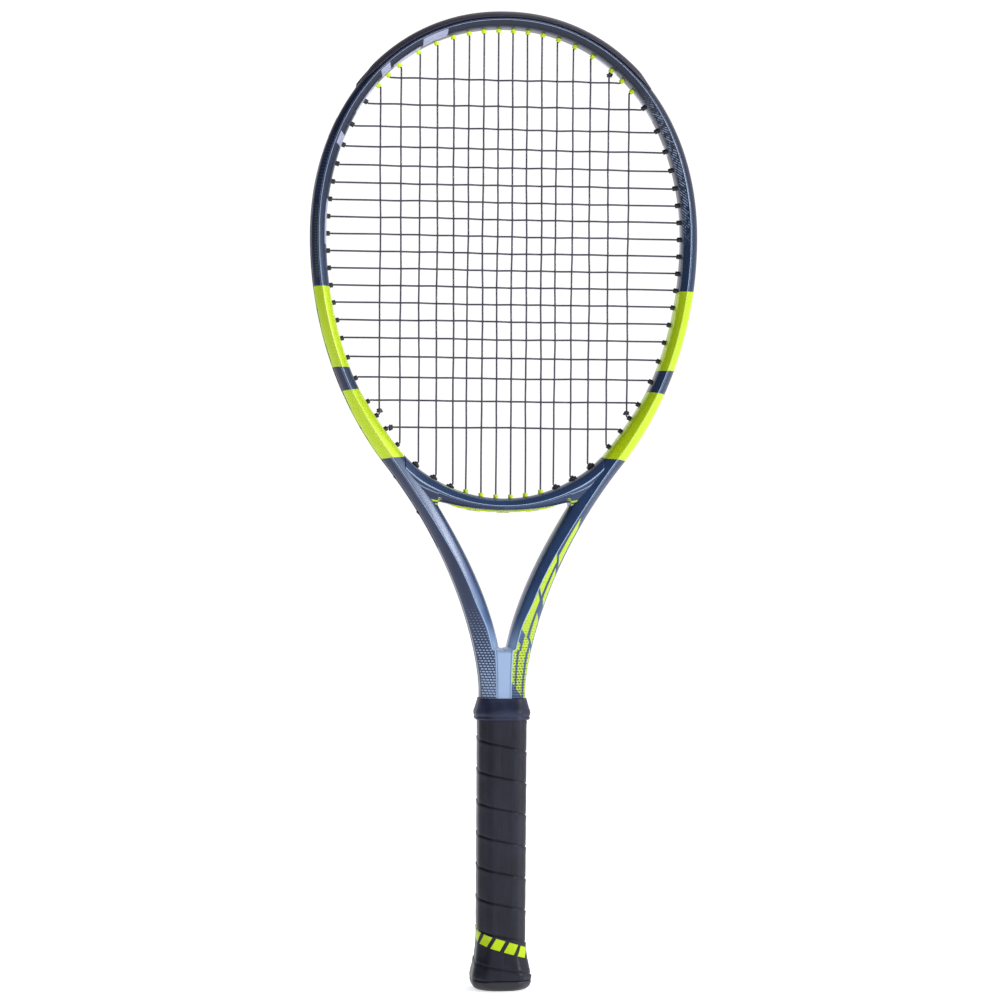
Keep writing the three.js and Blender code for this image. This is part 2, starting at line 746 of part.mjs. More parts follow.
const stack = (rows) => loft(rows.map((row) => {
  const [z, halfX, halfY, bevel = gripBevel] = row;
  return octagon(halfX, halfY, z, bevel);
}));

// The grip's outside from the top down to the flare, and the same shape further in.
const gripRows = (inset, topZ, bottomZ) => [
  [topZ, 0],
  [flareTopZ, 0],
  [lerp(flareTopZ, gripBottomZ, 0.45), 0.26 * flareOut],
  [lerp(flareTopZ, gripBottomZ, 0.8), 0.8 * flareOut],
  [bottomZ, flareOut],
].map(([z, out]) => [z, gripHalfWidth + out - inset, gripHalfDepth + out - inset]);

const capInset = gripThickness + gap;

// The cap's half depth under the grip at a height, between the rows of its profile.
function capHalfDepthAt(z) {
  const rows = gripRows(capInset, capSleeveZ, gripBottomZ - gap);
  const above = rows.findLastIndex((row) => row[0] >= z);
  const [a, b] = [rows[above], rows[above + 1]];
  return lerp(a[2], b[2], (a[0] - z) / (a[0] - b[0]));
}

const foamHalfWidth = gripHalfWidth - capInset;
const foamHalfDepth = gripHalfDepth - capInset;

const foam = stack([
  [foamTopZ, foamHalfWidth, foamHalfDepth],
  [capSleeveZ + gap, foamHalfWidth, foamHalfDepth],
  [capSleeveZ + gap - 0.01, foamHalfWidth - capStep, foamHalfDepth - capStep],
  [foamBottomZ, foamHalfWidth - capStep, foamHalfDepth - capStep],
]).subtract(grownTube);

const capOutside = gripRows(capInset, capSleeveZ, gripBottomZ - gap)
  .filter(([z]) => z <= capSleeveZ + 0.01);
const rim = gripHalfWidth + flareOut - 0.2;
const rimDepth = gripHalfDepth + flareOut - 0.2;
const capBody = stack([
  [capSleeveZ, foamHalfWidth, foamHalfDepth],
  ...capOutside.filter(([z]) => z < capSleeveZ - 0.01),
  [gripBottomZ - gap - 0.01, rim, rimDepth],
  [4, rim - 0.4, rimDepth - 0.4],
  [1.4, rim - 1.9, rimDepth - 1.9],
  [0, rim - 4, rimDepth - 4],
]);
const capInside = stack([
  [capSleeveZ + 5, foamHalfWidth - capStep + gap, foamHalfDepth - capStep + gap],
  [capWall, foamHalfWidth - capStep + gap, foamHalfDepth - capStep + gap],
]);

const slab = (width, depth, bottom, top) => {
  const body = new THREE.BoxGeometry(width, depth, top - bottom);
  body.translate(0, 0, (top + bottom) / 2);
  return solid(body);
};
const plug = slab(plugWidth, plugDepth, plugRecess, capWall + gap + 0.1)
  .add(slab(plugWidth + 3, plugDepth + 3, capWall + gap, capWall + gap + 0.9));
const plugHole = slab(plugWidth + 2 * gap, plugDepth + 2 * gap, -5, capWall + 1);

// A wire staple: a crown across X and two legs that run in along Y. Grown, it is the pocket it sits in.
function staple(outerY, z, legLength, grow = 0) {
  const sign = Math.sign(outerY);
  const box = (x, width, inner, outer) => {
    const body = new THREE.BoxGeometry(width + 2 * grow, outer - inner + 2 * grow, stapleHeight + 2 * grow);
    body.translate(x, sign * (outer + inner) / 2, z);
    return solid(body);
  };
  const outer = Math.abs(outerY);
  const legX = stapleWidth / 2 - stapleWire / 2;
  return box(0, stapleWidth, outer - stapleWire, outer)
    .add(box(legX, stapleWire, outer - legLength, outer))
    .add(box(-legX, stapleWire, outer - legLength, outer));
}

const capStapleY = foamHalfDepth + 0.1;
const capStaples = [-1, 1].map((sign) => staple(sign * capStapleY, capStapleZ, capStapleLeg));
const capPockets = [-1, 1].map((sign) => staple(sign * capStapleY, capStapleZ, capStapleLeg, gap));
const gripStapleY = capHalfDepthAt(gripStapleZ) + stapleWire + 0.1;
const gripStaple = staple(gripStapleY, gripStapleZ, gripStapleLeg);
const gripPocket = staple(gripStapleY, gripStapleZ, gripStapleLeg, gap);

const butt = capBody.subtract(capInside).subtract(plugHole)
  .subtract(rightOnly([...capPockets, gripPocket]));
const handleFoam = foam.subtract(rightOnly(capPockets));
const gripInside = stack([
  [gripTopZ + 5, gripHalfWidth - gripThickness, gripHalfDepth - gripThickness],
  ...gripRows(gripThickness, gripTopZ, gripBottomZ - 3),
]);
const grip = stack(gripRows(0, gripTopZ, gripBottomZ)).subtract(gripInside).subtract(gripPocket);

const tapeOut = gap + tapeThickness;
const tape = stack([
  [tapeTopZ, gripHalfWidth + tapeOut, gripHalfDepth + tapeOut],
  [tapeBottomZ, gripHalfWidth + tapeOut, gripHalfDepth + tapeOut],
]).subtract(stack([
  [tapeTopZ + 1, gripHalfWidth + gap, gripHalfDepth + gap],
  [tapeBottomZ - 1, gripHalfWidth + gap, gripHalfDepth + gap],
]));

// The collar: snug on the shaft at its top, wide enough for the taped grip below.
const wideX = gripHalfWidth + tapeOut + gap + 0.1;
const wideY = gripHalfDepth + tapeOut + gap + 0.1;
const snugX = shaftHalfWidth + gap + collarSlack;
const snugY = shaftTubeDepth / 2 + gap + collarSlack;
const collarOutside = stack([
  [collarTopZ, snugX + collarLip.wall, snugY + collarLip.wall, shaftBevel],
  [collarTopZ - collarLip.height, snugX + collarWall, snugY + collarWall, shaftBevel],
  [gripTopZ + 1, wideX + collarWall, wideY + collarWall],
  [collarBottomZ + collarHem.height, wideX + collarWall, wideY + collarWall],
  [collarBottomZ, wideX + collarHem.wall, wideY + collarHem.wall],
]);
const collarBore = stack([
  [collarTopZ + 2, snugX, snugY, shaftBevel],
  [collarTopZ - collarLip.height, snugX, snugY, shaftBevel],
  [gripTopZ + gap, wideX, wideY],
  [collarBottomZ - 2, wideX, wideY],
]);
const collar = collarOutside.subtract(collarBore);

// ---- The scene graph ----

const racket = new THREE.Group();

function addNode(name, body, color, roughness, metalness = 0) {
  const mesh = body.getMesh();
  const geometry = new THREE.BufferGeometry();
  geometry.setAttribute('position', new THREE.BufferAttribute(new Float32Array(mesh.vertProperties), 3));
  geometry.setIndex(new THREE.BufferAttribute(new Uint32Array(mesh.triVerts), 1));
  geometry.computeVertexNormals();
  const made = new THREE.Mesh(geometry, new THREE.MeshStandardMaterial({ color, roughness, metalness }));
  made.name = name;
  racket.add(made);
}

const slate = 0x4f6474;
const lime = 0xd3e81c;
const black = 0x15161a;
const navy = 0x14161f;
const steel = 0xb9bdc2;

addNode('frame_tube', frame, slate, 0.35, 0.3);
addNode('throat_bridge', bridge, slate, 0.35, 0.3);
addNode('bumper_guard', bumper, 0x2a2838, 0.55);
addNode('head_grommet_strip', headStrip, lime, 0.5);
addNode('side_grommet_strip_right', sideStrip, black, 0.5);
addNode('side_grommet_strip_left', mirror(sideStrip), black, 0.5);
addNode('bridge_grommet_strip', bridgeStrip, lime, 0.5);
yokeBarrels.forEach((barrel, i) => {
  addNode(`yoke_grommet_right_${i + 1}`, yokeGrommet(barrel), black, 0.5);
  addNode(`yoke_grommet_left_${i + 1}`, mirror(yokeGrommet(barrel)), black, 0.5);
});
addNode('main_string', mainString, black, 0.4);
addNode('cross_string', crossString, black, 0.4);
addNode('handle_foam', handleFoam, 0x8f8a80, 0.9);
addNode('butt_cap', butt, black, 0.5);
addNode('butt_plug', plug, black, 0.5);
addNode('butt_staple_front', capStaples[0], steel, 0.3, 1);
addNode('butt_staple_back', capStaples[1], steel, 0.3, 1);
addNode('grip_staple', gripStaple, steel, 0.3, 1);
addNode('grip', grip, navy, 0.6);
addNode('finishing_tape', tape, 0x303030, 0.7);
addNode('grip_collar', collar, black, 0.6);

export default racket;
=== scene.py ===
import math
import random

import bmesh
import bpy
from mathutils import Matrix, Vector


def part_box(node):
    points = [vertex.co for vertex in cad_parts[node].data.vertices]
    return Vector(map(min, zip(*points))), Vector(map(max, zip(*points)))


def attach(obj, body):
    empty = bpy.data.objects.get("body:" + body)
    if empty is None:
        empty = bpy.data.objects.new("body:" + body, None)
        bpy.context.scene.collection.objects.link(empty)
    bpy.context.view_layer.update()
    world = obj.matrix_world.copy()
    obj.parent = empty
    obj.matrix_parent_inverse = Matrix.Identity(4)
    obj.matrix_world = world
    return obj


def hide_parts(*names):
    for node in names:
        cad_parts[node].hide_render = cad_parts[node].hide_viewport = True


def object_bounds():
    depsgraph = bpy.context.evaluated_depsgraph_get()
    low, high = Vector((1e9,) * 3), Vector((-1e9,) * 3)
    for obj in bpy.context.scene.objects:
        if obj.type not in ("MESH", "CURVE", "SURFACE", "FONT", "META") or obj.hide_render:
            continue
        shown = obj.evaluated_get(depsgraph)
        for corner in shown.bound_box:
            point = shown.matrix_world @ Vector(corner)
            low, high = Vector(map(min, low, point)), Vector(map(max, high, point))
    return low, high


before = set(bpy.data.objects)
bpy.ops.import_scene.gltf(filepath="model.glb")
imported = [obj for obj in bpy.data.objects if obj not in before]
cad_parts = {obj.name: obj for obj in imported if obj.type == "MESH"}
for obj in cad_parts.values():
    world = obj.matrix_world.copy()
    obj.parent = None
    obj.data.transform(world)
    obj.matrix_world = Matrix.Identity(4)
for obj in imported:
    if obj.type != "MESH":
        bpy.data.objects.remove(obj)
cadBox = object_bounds()
print("frame loaded")

# Sizes are in millimetres, as on the drawing, and meshes are made in metres.
mm = 0.001


def boxOf(node):
    low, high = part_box(node)
    return Vector(low) / mm, Vector(high) / mm


def lerp(a, b, t):
    return a + (b - a) * t


def smoothstep(value, low, high):
    t = min(1, max(0, (value - low) / (high - low)))
    return t * t * (3 - 2 * t)


def buildMesh(name, points, faces, attributes=None):
    mesh = bpy.data.meshes.new(name)
    mesh.from_pydata([Vector(p) * mm for p in points], [], faces)
    for key, values in (attributes or {}).items():
        mesh.attributes.new(key, "FLOAT", "POINT").data.foreach_set("value", values)
    mesh.polygons.foreach_set("use_smooth", [True] * len(mesh.polygons))
    mesh.update()
    return mesh


def addObject(name, mesh):
    piece = bpy.data.objects.new(name, mesh)
    bpy.context.scene.collection.objects.link(piece)
    return piece


def makePiece(name, mesh, material, node, body="racket"):
    mesh.materials.clear()
    mesh.materials.append(material)
    piece = addObject(name, mesh)
    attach(piece, body)
    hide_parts(node)
    print("made", name, len(mesh.polygons), "faces")


def faceOut(mesh):
    work = bmesh.new()
    work.from_mesh(mesh)
    bmesh.ops.recalc_face_normals(work, faces=work.faces)
    work.to_mesh(mesh)
    work.free()


# Rings of equal length joined into a skin. Ends are capped, or the last ring joins the first.
def skinOf(rings, closed=False):
    count = len(rings[0])
    points = [p for ring in rings for p in ring]
    faces = []
    turns = len(rings) if closed else len(rings) - 1
    for r in range(turns):
        a, b = r * count, (r + 1) % len(rings) * count
        for i in range(count):
            j = (i + 1) % count
            faces.append((a + i, a + j, b + j, b + i))
    if not closed:
        faces.append(tuple(range(count))[::-1])
        faces.append(tuple(len(points) - count + i for i in range(count)))
    return points, faces


# A closed outline with every corner rounded. Each corner is (x, y, cut, steps, value): cut is how far the
# rounding reaches along both sides. The result holds (x, y, value), the value running on between corners.
def roundCorners(corners):
    result = []
    count = len(corners)
    for i, (x, y, cut, steps, value) in enumerate(corners):
        here = Vector((x, y))
        last = corners[i - 1]
        after = corners[(i + 1) % count]
        ends = []
        for other in (last, after):
            side = Vector(other[:2]) - here
            share = min(cut / max(side.length, 1e-6), 0.46)
            ends.append((here + side * share, lerp(value, other[4], share)))
        for step in range(steps + 1):
            t = step / steps
            place = ends[0][0].lerp(here, t).lerp(here.lerp(ends[1][0], t), t)
            mark = lerp(lerp(ends[0][1], value, t), lerp(value, ends[1][1], t), t)
            result.append((place.x, place.y, mark))
    return result


cameraView = {
    "distance": 2000,
    "azimuth": -7.233,
    "elevation": -0.295,
    "roll": 0.36,
    "target": (-2.16, 0, 342.9),
    "lens": 102.4,
}


def makeCamera():
    a = math.radians(cameraView["azimuth"])
    e = math.radians(cameraView["elevation"])
    roll = math.radians(cameraView["roll"])
    back = Vector((math.sin(a) * math.cos(e), -math.cos(a) * math.cos(e), math.sin(e)))
    level = (-back).cross(Vector((0, 0, 1))).normalized()
    upright = level.cross(-back)
    right = level * math.cos(roll) + upright * math.sin(roll)
    top = upright * math.cos(roll) - level * math.sin(roll)
    data = bpy.data.cameras.new("camera")
    data.lens = cameraView["lens"]
    data.sensor_width = 36
    camera = bpy.data.objects.new("camera", data)
    turn = Matrix((right, top, back)).transposed().to_4x4()
    place = (Vector(cameraView["target"]) + back * cameraView["distance"]) * mm
    camera.matrix_world = Matrix.Translation(place) @ turn
    bpy.context.scene.collection.objects.link(camera)
    bpy.context.scene.camera = camera


studio = {
    "floorSize": 12,
    "floorColor": (0.86, 0.86, 0.87, 1),
    "floorGlow": 0.66,
    "skyDim": (0.13, 0.14, 0.17, 1),
    "skyBright": (1.05, 1.05, 1.05, 1),
    "brightSide": (0.40, 0.90, 0.16),
    "brightFrom": 0.62,
}


def makeStudio():
    half = studio["floorSize"] / 2
    mesh = bpy.data.meshes.new("studio_floor")
    corners = [(-half, -half, 0), (half, -half, 0), (half, half, 0), (-half, half, 0)]
    mesh.from_pydata(corners, [], [(0, 1, 2, 3)])
    floor = addObject("studio_floor", mesh)
    material = bpy.data.materials.new("palePaper")
    material.use_nodes = True
    shader = material.node_tree.nodes["Principled BSDF"]
    shader.inputs["Base Color"].default_value = studio["floorColor"]
    shader.inputs["Roughness"].default_value = 0.95
    shader.inputs["Specular IOR Level"].default_value = 0.1
    shader.inputs["Emission Color"].default_value = (1, 1, 1, 1)
    shader.inputs["Emission Strength"].default_value = studio["floorGlow"]
    mesh.materials.append(material)

    # The sky is brightest behind the racket and to its right, so its left sides stay dark.
    world = bpy.data.worlds.new("studio_sky")
    world.use_nodes = True
    bpy.context.scene.world = world
    tree = world.node_tree
    coords = tree.nodes.new("ShaderNodeTexCoord")
    toward = tree.nodes.new("ShaderNodeVectorMath")
    toward.operation = "DOT_PRODUCT"
    toward.inputs[1].default_value = Vector(studio["brightSide"]).normalized()
    tree.links.new(coords.outputs["Generated"], toward.inputs[0])
    shade = tree.nodes.new("ShaderNodeValToRGB")
    shade.color_ramp.elements[0].position = 0.0
    shade.color_ramp.elements[0].color = studio["skyDim"]
    shade.color_ramp.elements[1].position = studio["brightFrom"]
    shade.color_ramp.elements[1].color = studio["skyBright"]
    tree.links.new(toward.outputs["Value"], shade.inputs["Fac"])
    tree.links.new(shade.outputs["Color"], tree.nodes["Background"].inputs["Color"])


# Every light is (name, place, size, watts, color).
lamps = [
    ("key_light", (2.1, -1.5, 1.2), 0.65, 46, (1.0, 0.99, 0.97)),
    ("front_fill", (0.3, -2.8, 0.7), 1.6, 9, (0.92, 0.95, 1.0)),
    ("left_rim", (-1.6, 1.3, 1.0), 0.7, 3, (0.86, 0.9, 1.0)),
    ("top_light", (0.5, 0.3, 2.4), 1.0, 8, (1, 1, 1)),
]


def makeLights():
    middle = Vector((0, 0, cadBox[1][2] / 2))
    for name, place, size, watts, color in lamps:
        data = bpy.data.lights.new(name, "AREA")
        data.shape = "DISK"
        data.size = size
        data.energy = watts
        data.color = color
        lamp = bpy.data.objects.new(name, data)
        lamp.location = place
        lamp.rotation_euler = (Vector(place) - middle).to_track_quat("Z", "Y").to_euler()
        bpy.context.scene.collection.objects.link(lamp)


makeCamera()
makeStudio()
makeLights()
bpy.context.scene.view_settings.view_transform = "Standard"
print("camera, floor and lights made")


# A value in a material's node tree. Arithmetic on such values adds the nodes that work it out.
class Field:
    def __init__(self, finish, socket):
        self.finish = finish
        self.socket = socket

    def __add__(self, other):
        return self.finish.calc("ADD", self, other)

    def __sub__(self, other):
        return self.finish.calc("SUBTRACT", self, other)

    def __rsub__(self, other):
        return self.finish.calc("SUBTRACT", other, self)

    def __mul__(self, other):
        return self.finish.calc("MULTIPLY", self, other)

    def __truediv__(self, other):
        return self.finish.calc("DIVIDE", self, other)

    __radd__ = __add__
    __rmul__ = __mul__


# A material whose patterns read as formulas.
class Finish:
    def __init__(self, name):
        self.material = bpy.data.materials.new(name)
        self.material.use_nodes = True
        self.tree = self.material.node_tree
        self.shader = self.tree.nodes["Principled BSDF"]

    def put(self, socket, value):
        if isinstance(value, Field):
            self.tree.links.new(value.socket, socket)
        elif isinstance(value, tuple) and socket.type == "RGBA":
            socket.default_value = (*value, 1)
        else:
            socket.default_value = value

    def add(self, kind, inputs, output=0, **settings):
        node = self.tree.nodes.new("ShaderNode" + kind)
        for key, value in settings.items():
            setattr(node, key, value)
        for key, value in inputs.items():
            self.put(node.inputs[key], value)
        return Field(self, node.outputs[output])

    def calc(self, operation, *values):
        return self.add("Math", dict(enumerate(values)), operation=operation)

    def attribute(self, name):
        return self.add("Attribute", {}, "Fac", attribute_name=name)

    # The piece's own coordinates in millimetres
    def place(self):
        coords = self.add("TexCoord", {}, "Object")
        return self.add("VectorMath", {0: coords, "Scale": 1 / mm}, operation="SCALE")

    def split(self, vector):
        node = self.add("SeparateXYZ", {0: vector}).socket.node
        return [Field(self, socket) for socket in node.outputs]

    def join(self, x, y):
        return self.add("CombineXYZ", {0: x, 1: y})

    def mix(self, factor, first, second):
        return self.add("Mix", {"Factor": factor, 6: first, 7: second}, 2, data_type="RGBA")

    def fade(self, value, low, high, start=0.0, end=1.0):
        limits = {"Value": value, "From Min": low, "From Max": high, "To Min": start, "To Max": end}
        return self.add("MapRange", limits, interpolation_type="SMOOTHSTEP")

    # One between two limits and nothing outside them, with soft edges
    def band(self, value, low, high, soft):
        return self.fade(value, low - soft, low + soft) * self.fade(value, high - soft, high + soft, 1.0, 0.0)

    # Stripes a step apart, each a share of the step wide
    def stripes(self, value, step, share, soft=0.08):
        return self.band(self.calc("FRACT", value / step), 0.5 - share / 2, 0.5 + share / 2, soft)

    def noise(self, vector, scale, detail=3.0, roughness=0.55):
        return self.add("TexNoise", {
            "Vector": vector, "Scale": scale, "Detail": detail, "Roughness": roughness}, "Fac")

    def cells(self, vector, scale):
        return self.add("TexVoronoi", {"Vector": vector, "Scale": scale}, "Distance")

    def ramp(self, value, stops):
        result = self.add("ValToRGB", {"Fac": value}, "Color")
        elements = result.socket.node.color_ramp.elements
        while len(elements) < len(stops):
            elements.new(0.5)
        for element, (position, color) in zip(elements, stops):
            element.position = position
            element.color = (*color, 1)
        return result

    def bump(self, height, strength, distance):
        rough = self.add("Bump", {"Height": height, "Strength": strength, "Distance": distance})
        self.put(self.shader.inputs["Normal"], rough)

    def done(self, **values):
        for key, value in values.items():
            self.put(self.shader.inputs[key.replace("_", " ")], value)
        return self.material


def tone(text):
    parts = [int(text[i:i + 2], 16) / 255 for i in (0, 2, 4)]
    return tuple(c / 12.92 if c < 0.04045 else ((c + 0.055) / 1.055) ** 2.4 for c in parts)


outlineSizes = {
    "topZ": boxOf("frame_tube")[1].z,
    "hoopHalfWidth": boxOf("frame_tube")[1].x,
    "hoopWidestZ": 528,
    "hoopRoundness": 2.08,
    "yokeHalfWidth": 84.4,
    "yokeZ": 368.7,
    "yokeLean": 38.5,
    "shaftHalfWidth": 15.9,
    "armEndZ": 210,
    "crotchZ": 240,
    "shaftFootZ": 200,
    "handleTopZ": 192,
    "handleHalfWidth": 12,
    "handleBottomZ": boxOf("frame_tube")[0].z,
    "holds": (0.48, 0.22, 0.63, 0.05),
}

tubeSizes = {
    "hoopWidth": 11,
    "headWidth": 9.8,
    "yokeWidth": 14,
    "armWidth": 17,
    "joinedWidth": 24,
    "hoopDepth": 23,
    "throatDepth": 26,
    "shaftDepth": 24,
    "handleDepth": 18,
    "grooveDepth": 2.6,
    "shallowGroove": 0.25,
    "grooveHalfWidth": 4.4,
    "lipHalfWidth": 6,
    "grooveEndZ": 318,
    "ringStep": 3,
    "crotchStep": 0.45,
    "crestShares": ((405, 0.5), (340, 0.36), (273, 0.54), (246, 0.69), (228, 0.7)),
}


def bezier(points, count):
    a, b, c, d = (Vector(p) for p in points)
    curve = []
    for i in range(1, count + 1):
        t = i / count
        curve.append(a * (1 - t) ** 3 + b * 3 * t * (1 - t) ** 2 + c * 3 * t * t * (1 - t) + d * t ** 3)
    return curve


def makeOutline():
    o = outlineSizes
    power = 2 / o["hoopRoundness"]
    path = []
    for i in range(401):
        angle = i / 400 * math.pi / 2
        x = o["hoopHalfWidth"] * math.sin(angle) ** power
        z = o["hoopWidestZ"] + (o["topZ"] - o["hoopWidestZ"]) * max(0, math.cos(angle)) ** power
        path.append(Vector((x, z)))
    lean = math.radians(o["yokeLean"])
    slope = Vector((math.sin(lean), math.cos(lean)))
    yoke = Vector((o["yokeHalfWidth"], o["yokeZ"]))
    upper = o["hoopWidestZ"] - o["yokeZ"]
    lower = o["yokeZ"] - o["armEndZ"]
    cheek, aboveYoke, arm, shaft = o["holds"]
    side = o["shaftHalfWidth"]
    ends = [len(path) - 1]
    path += bezier([
        (o["hoopHalfWidth"], o["hoopWidestZ"]),
        (o["hoopHalfWidth"], o["hoopWidestZ"] - cheek * upper),
        yoke + slope * (aboveYoke * upper),
        yoke,
    ], 300)
    ends.append(len(path) - 1)
    path += bezier([
        yoke,
        yoke - slope * (arm * lower),
        (side, o["armEndZ"] + shaft * lower),
        (side, o["armEndZ"]),
    ], 300)
    ends.append(len(path) - 1)
    corners = [(side, o["shaftFootZ"]), (o["handleHalfWidth"], o["handleTopZ"])]
    for x, z in corners + [(o["handleHalfWidth"], o["handleBottomZ"])]:
        path.append(Vector((x, z)))
        ends.append(len(path) - 1)
    lengths = [0]
    for i in range(1, len(path)):
        lengths.append(lengths[-1] + (path[i] - path[i - 1]).length)
    return path, lengths, [lengths[i] for i in ends]


outlinePath, outlineLengths, curveEnds = makeOutline()
outlineLength = outlineLengths[-1]


def outlineAt(distance):
    distance = min(max(distance, 0), outlineLength)
    low, high = 0, len(outlineLengths) - 1
    while high - low > 1:
        middle = (low + high) // 2
        if outlineLengths[middle] <= distance:
            low = middle
        else:
            high = middle
    share = (distance - outlineLengths[low]) / max(outlineLengths[high] - outlineLengths[low], 1e-9)
    return outlinePath[low].lerp(outlinePath[high], share)


# How far across the tube its crest is at a height: it swings outward at the yoke and inward down the arms.
def crestAt(z):
    shares = tubeSizes["crestShares"]
    if z >= shares[0][0]:
        return shares[0][1]
    for (high, first), (low, second) in zip(shares, shares[1:]):
        if z >= low:
            return lerp(second, first, smoothstep(z, low, high))
    return shares[-1][1]


# The outer edge, the way into the tube, and the tube's width and depth at a distance from the top.
def station(distance):
    t = tubeSizes
    o = outlineSizes
    point = outlineAt(distance)
    tangent = (outlineAt(distance + 0.5) - outlineAt(distance - 0.5)).normalized()
    inward = Vector((tangent.y, -tangent.x))
    if distance <= 0:
        inward = Vector((0, -1))
    if point.y <= o["armEndZ"]:
        inward = Vector((-1, 0))
    z = point.y
    inShaft = 1 - smoothstep(z, o["crotchZ"] - 7.5, o["crotchZ"] - 3.5)
    width = lerp(t["yokeWidth"], t["hoopWidth"], smoothstep(z, o["yokeZ"], o["yokeZ"] + 60))
    width = lerp(width, t["headWidth"], smoothstep(z, o["hoopWidestZ"] + 30, o["topZ"] - 25))
    width = lerp(t["armWidth"], width, smoothstep(z, o["crotchZ"], o["yokeZ"] - 30))
    width = lerp(width, t["joinedWidth"], inShaft)
    depth = lerp(t["throatDepth"], t["hoopDepth"], smoothstep(z, o["yokeZ"], o["hoopWidestZ"]))
    depth = lerp(t["shaftDepth"], depth, smoothstep(z, o["armEndZ"], o["yokeZ"] - 60))
    foot = (z - o["handleTopZ"]) / (o["shaftFootZ"] - o["handleTopZ"])
    depth = lerp(t["handleDepth"], depth, min(1, max(0, foot)))
    groove = t["grooveDepth"] * smoothstep(z, t["grooveEndZ"] - 12, t["grooveEndZ"])
    room = point.x / max(-inward.x, 1e-3) + 1e-3
    return {
        "distance": distance,
        "point": point,
        "inward": inward,
        "width": width if point.x < 1e-6 else min(width, room),
        "fullWidth": width,
        "depth": depth,
        "groove": max(t["shallowGroove"], groove),
        "inShaft": inShaft,
        "crest": crestAt(z),
    }


def alongTube(at, u, y):
    flat = at["point"] + at["inward"] * u
    return Vector((max(flat.x, 0), y, flat.y))


# Corners of half the section: place inward, half depth, rounding, steps, and how far across the tube it is.
def sectionCorners(at):
    w, d, inShaft = at["width"], at["depth"], at["inShaft"]
    return [
        (at["groove"], tubeSizes["grooveHalfWidth"], 0.3, 1, -0.2),
        (0, tubeSizes["grooveHalfWidth"], 0.4, 2, -0.1),
        (0, tubeSizes["lipHalfWidth"], 1.1, 3, 0),
        (0.16 * w, 0.38 * d, 2, 3, 0.2),
        (at["crest"] * w, d / 2, 0.75, 4, 0.5),
        (lerp(0.9, 0.97, inShaft) * w, lerp(0.36, 0.499, inShaft) * d, lerp(2.4, 0.4, inShaft), 4, 0.85),
        (w, lerp(0.2, 0.499, inShaft) * d, lerp(1.8, 0.02, inShaft), 3, 1),
    ]


def fullOutline(corners):
    front = [(u, -y, cut, steps, value) for u, y, cut, steps, value in reversed(corners)]
    return roundCorners(corners + front)


def ringMesh(name, rings, closed=False, attributes=None):
    mesh = buildMesh(name, *skinOf(rings, closed), attributes)
    faceOut(mesh)
    return mesh


def tubeStations():
    places = set()
    step = tubeSizes["ringStep"]
    for start, end in zip([0] + curveEnds, curveEnds):
        count = max(1, round((end - start) / step))
        places.update(lerp(start, end, i / count) for i in range(count + 1))
    crotch = [s for s in places if abs(outlineAt(s).y - outlineSizes["crotchZ"] + 6) < 9]
    low, high = min(crotch), max(crotch)
    count = round((high - low) / tubeSizes["crotchStep"])
    places = {s for s in places if s < low or s > high}
    places.update(lerp(low, high, i / count) for i in range(count + 1))
    return sorted(places)


# Half a piece that is the same on both sides, made whole: its inner walls on the middle plane go, and the
# two halves are welded there.
def weldMirror(mesh, tolerance=2e-5):
    work = bmesh.new()
    work.from_mesh(mesh)
    inner = [f for f in work.faces if all(abs(v.co.x) < tolerance for v in f.verts)]
    bmesh.ops.delete(work, geom=inner, context="FACES")
    for vert in work.verts:
        if abs(vert.co.x) < tolerance:
            vert.co.x = 0
    copy = bmesh.ops.duplicate(work, geom=work.verts[:] + work.edges[:] + work.faces[:])
    for item in copy["geom"]:
        if isinstance(item, bmesh.types.BMVert):
            item.co.x = -item.co.x
    middle = [v for v in work.verts if v.co.x == 0]
    bmesh.ops.remove_doubles(work, verts=middle, dist=tolerance)
    bmesh.ops.dissolve_degenerate(work, dist=1e-7, edges=work.edges[:])
    bmesh.ops.recalc_face_normals(work, faces=work.faces)
    for face in work.faces:
        face.smooth = True
    work.to_mesh(mesh)
    work.free()


# A section carried along the outline: on one side of the racket, or on both and made whole.
def bandMesh(name, sectionOf, places, side=0):
    rings, along, across = [], [], []
    for s in places:
        at = station(s)
        ring = []
        for u, y, value in fullOutline(sectionOf(at)):
            p = alongTube(at, u, y)
            ring.append((-p.x, p.y, p.z) if side < 0 else tuple(p))
            along.append(s)
            across.append(value)
        rings.append(ring)
    points, faces = skinOf(rings)
    mesh = buildMesh(name, points, faces, {"along": along, "across": across})
    if side:
        faceOut(mesh)
    else:
        weldMirror(mesh)
    return mesh


stringSizes = {
    "radius": 0.65,
    "mains": 16,
    "crosses": 19,
    "lastMainX": 90.66,
    "mainSpread": 0.03,
    "crossMiddleZ": 516.1,
    "crossSpacing": 12.1,
    "crossSpread": 2.65e-4,
    "mainWave": 0.4,
    "crossWave": 1.02,
    "loopSide": 1.65,
    "wander": 0.22,
    "wanderWaves": (27, 13),
    "bend": 0.8,
    "shortLoop": 8,
    "loopClear": 3.6,
    "loopStep": 2.5,
    "sampleStep": 2.2,
    "sides": 8,
    "knotTurns": 3,
    "knotSteps": 36,
    "knotRadius": 1.15,
    "knotLength": 2.0,
}

barrelSizes = {
    "radius": 1.75,
    "bore": 0.95,
    "reach": 2.6,
    "sides": 14,
    "lip": 0.3,
    "strip": 0.9,
    "gap": 0.3,
    "yokeLeans": (46, 44, 50),
    "flange": 5.6,
}

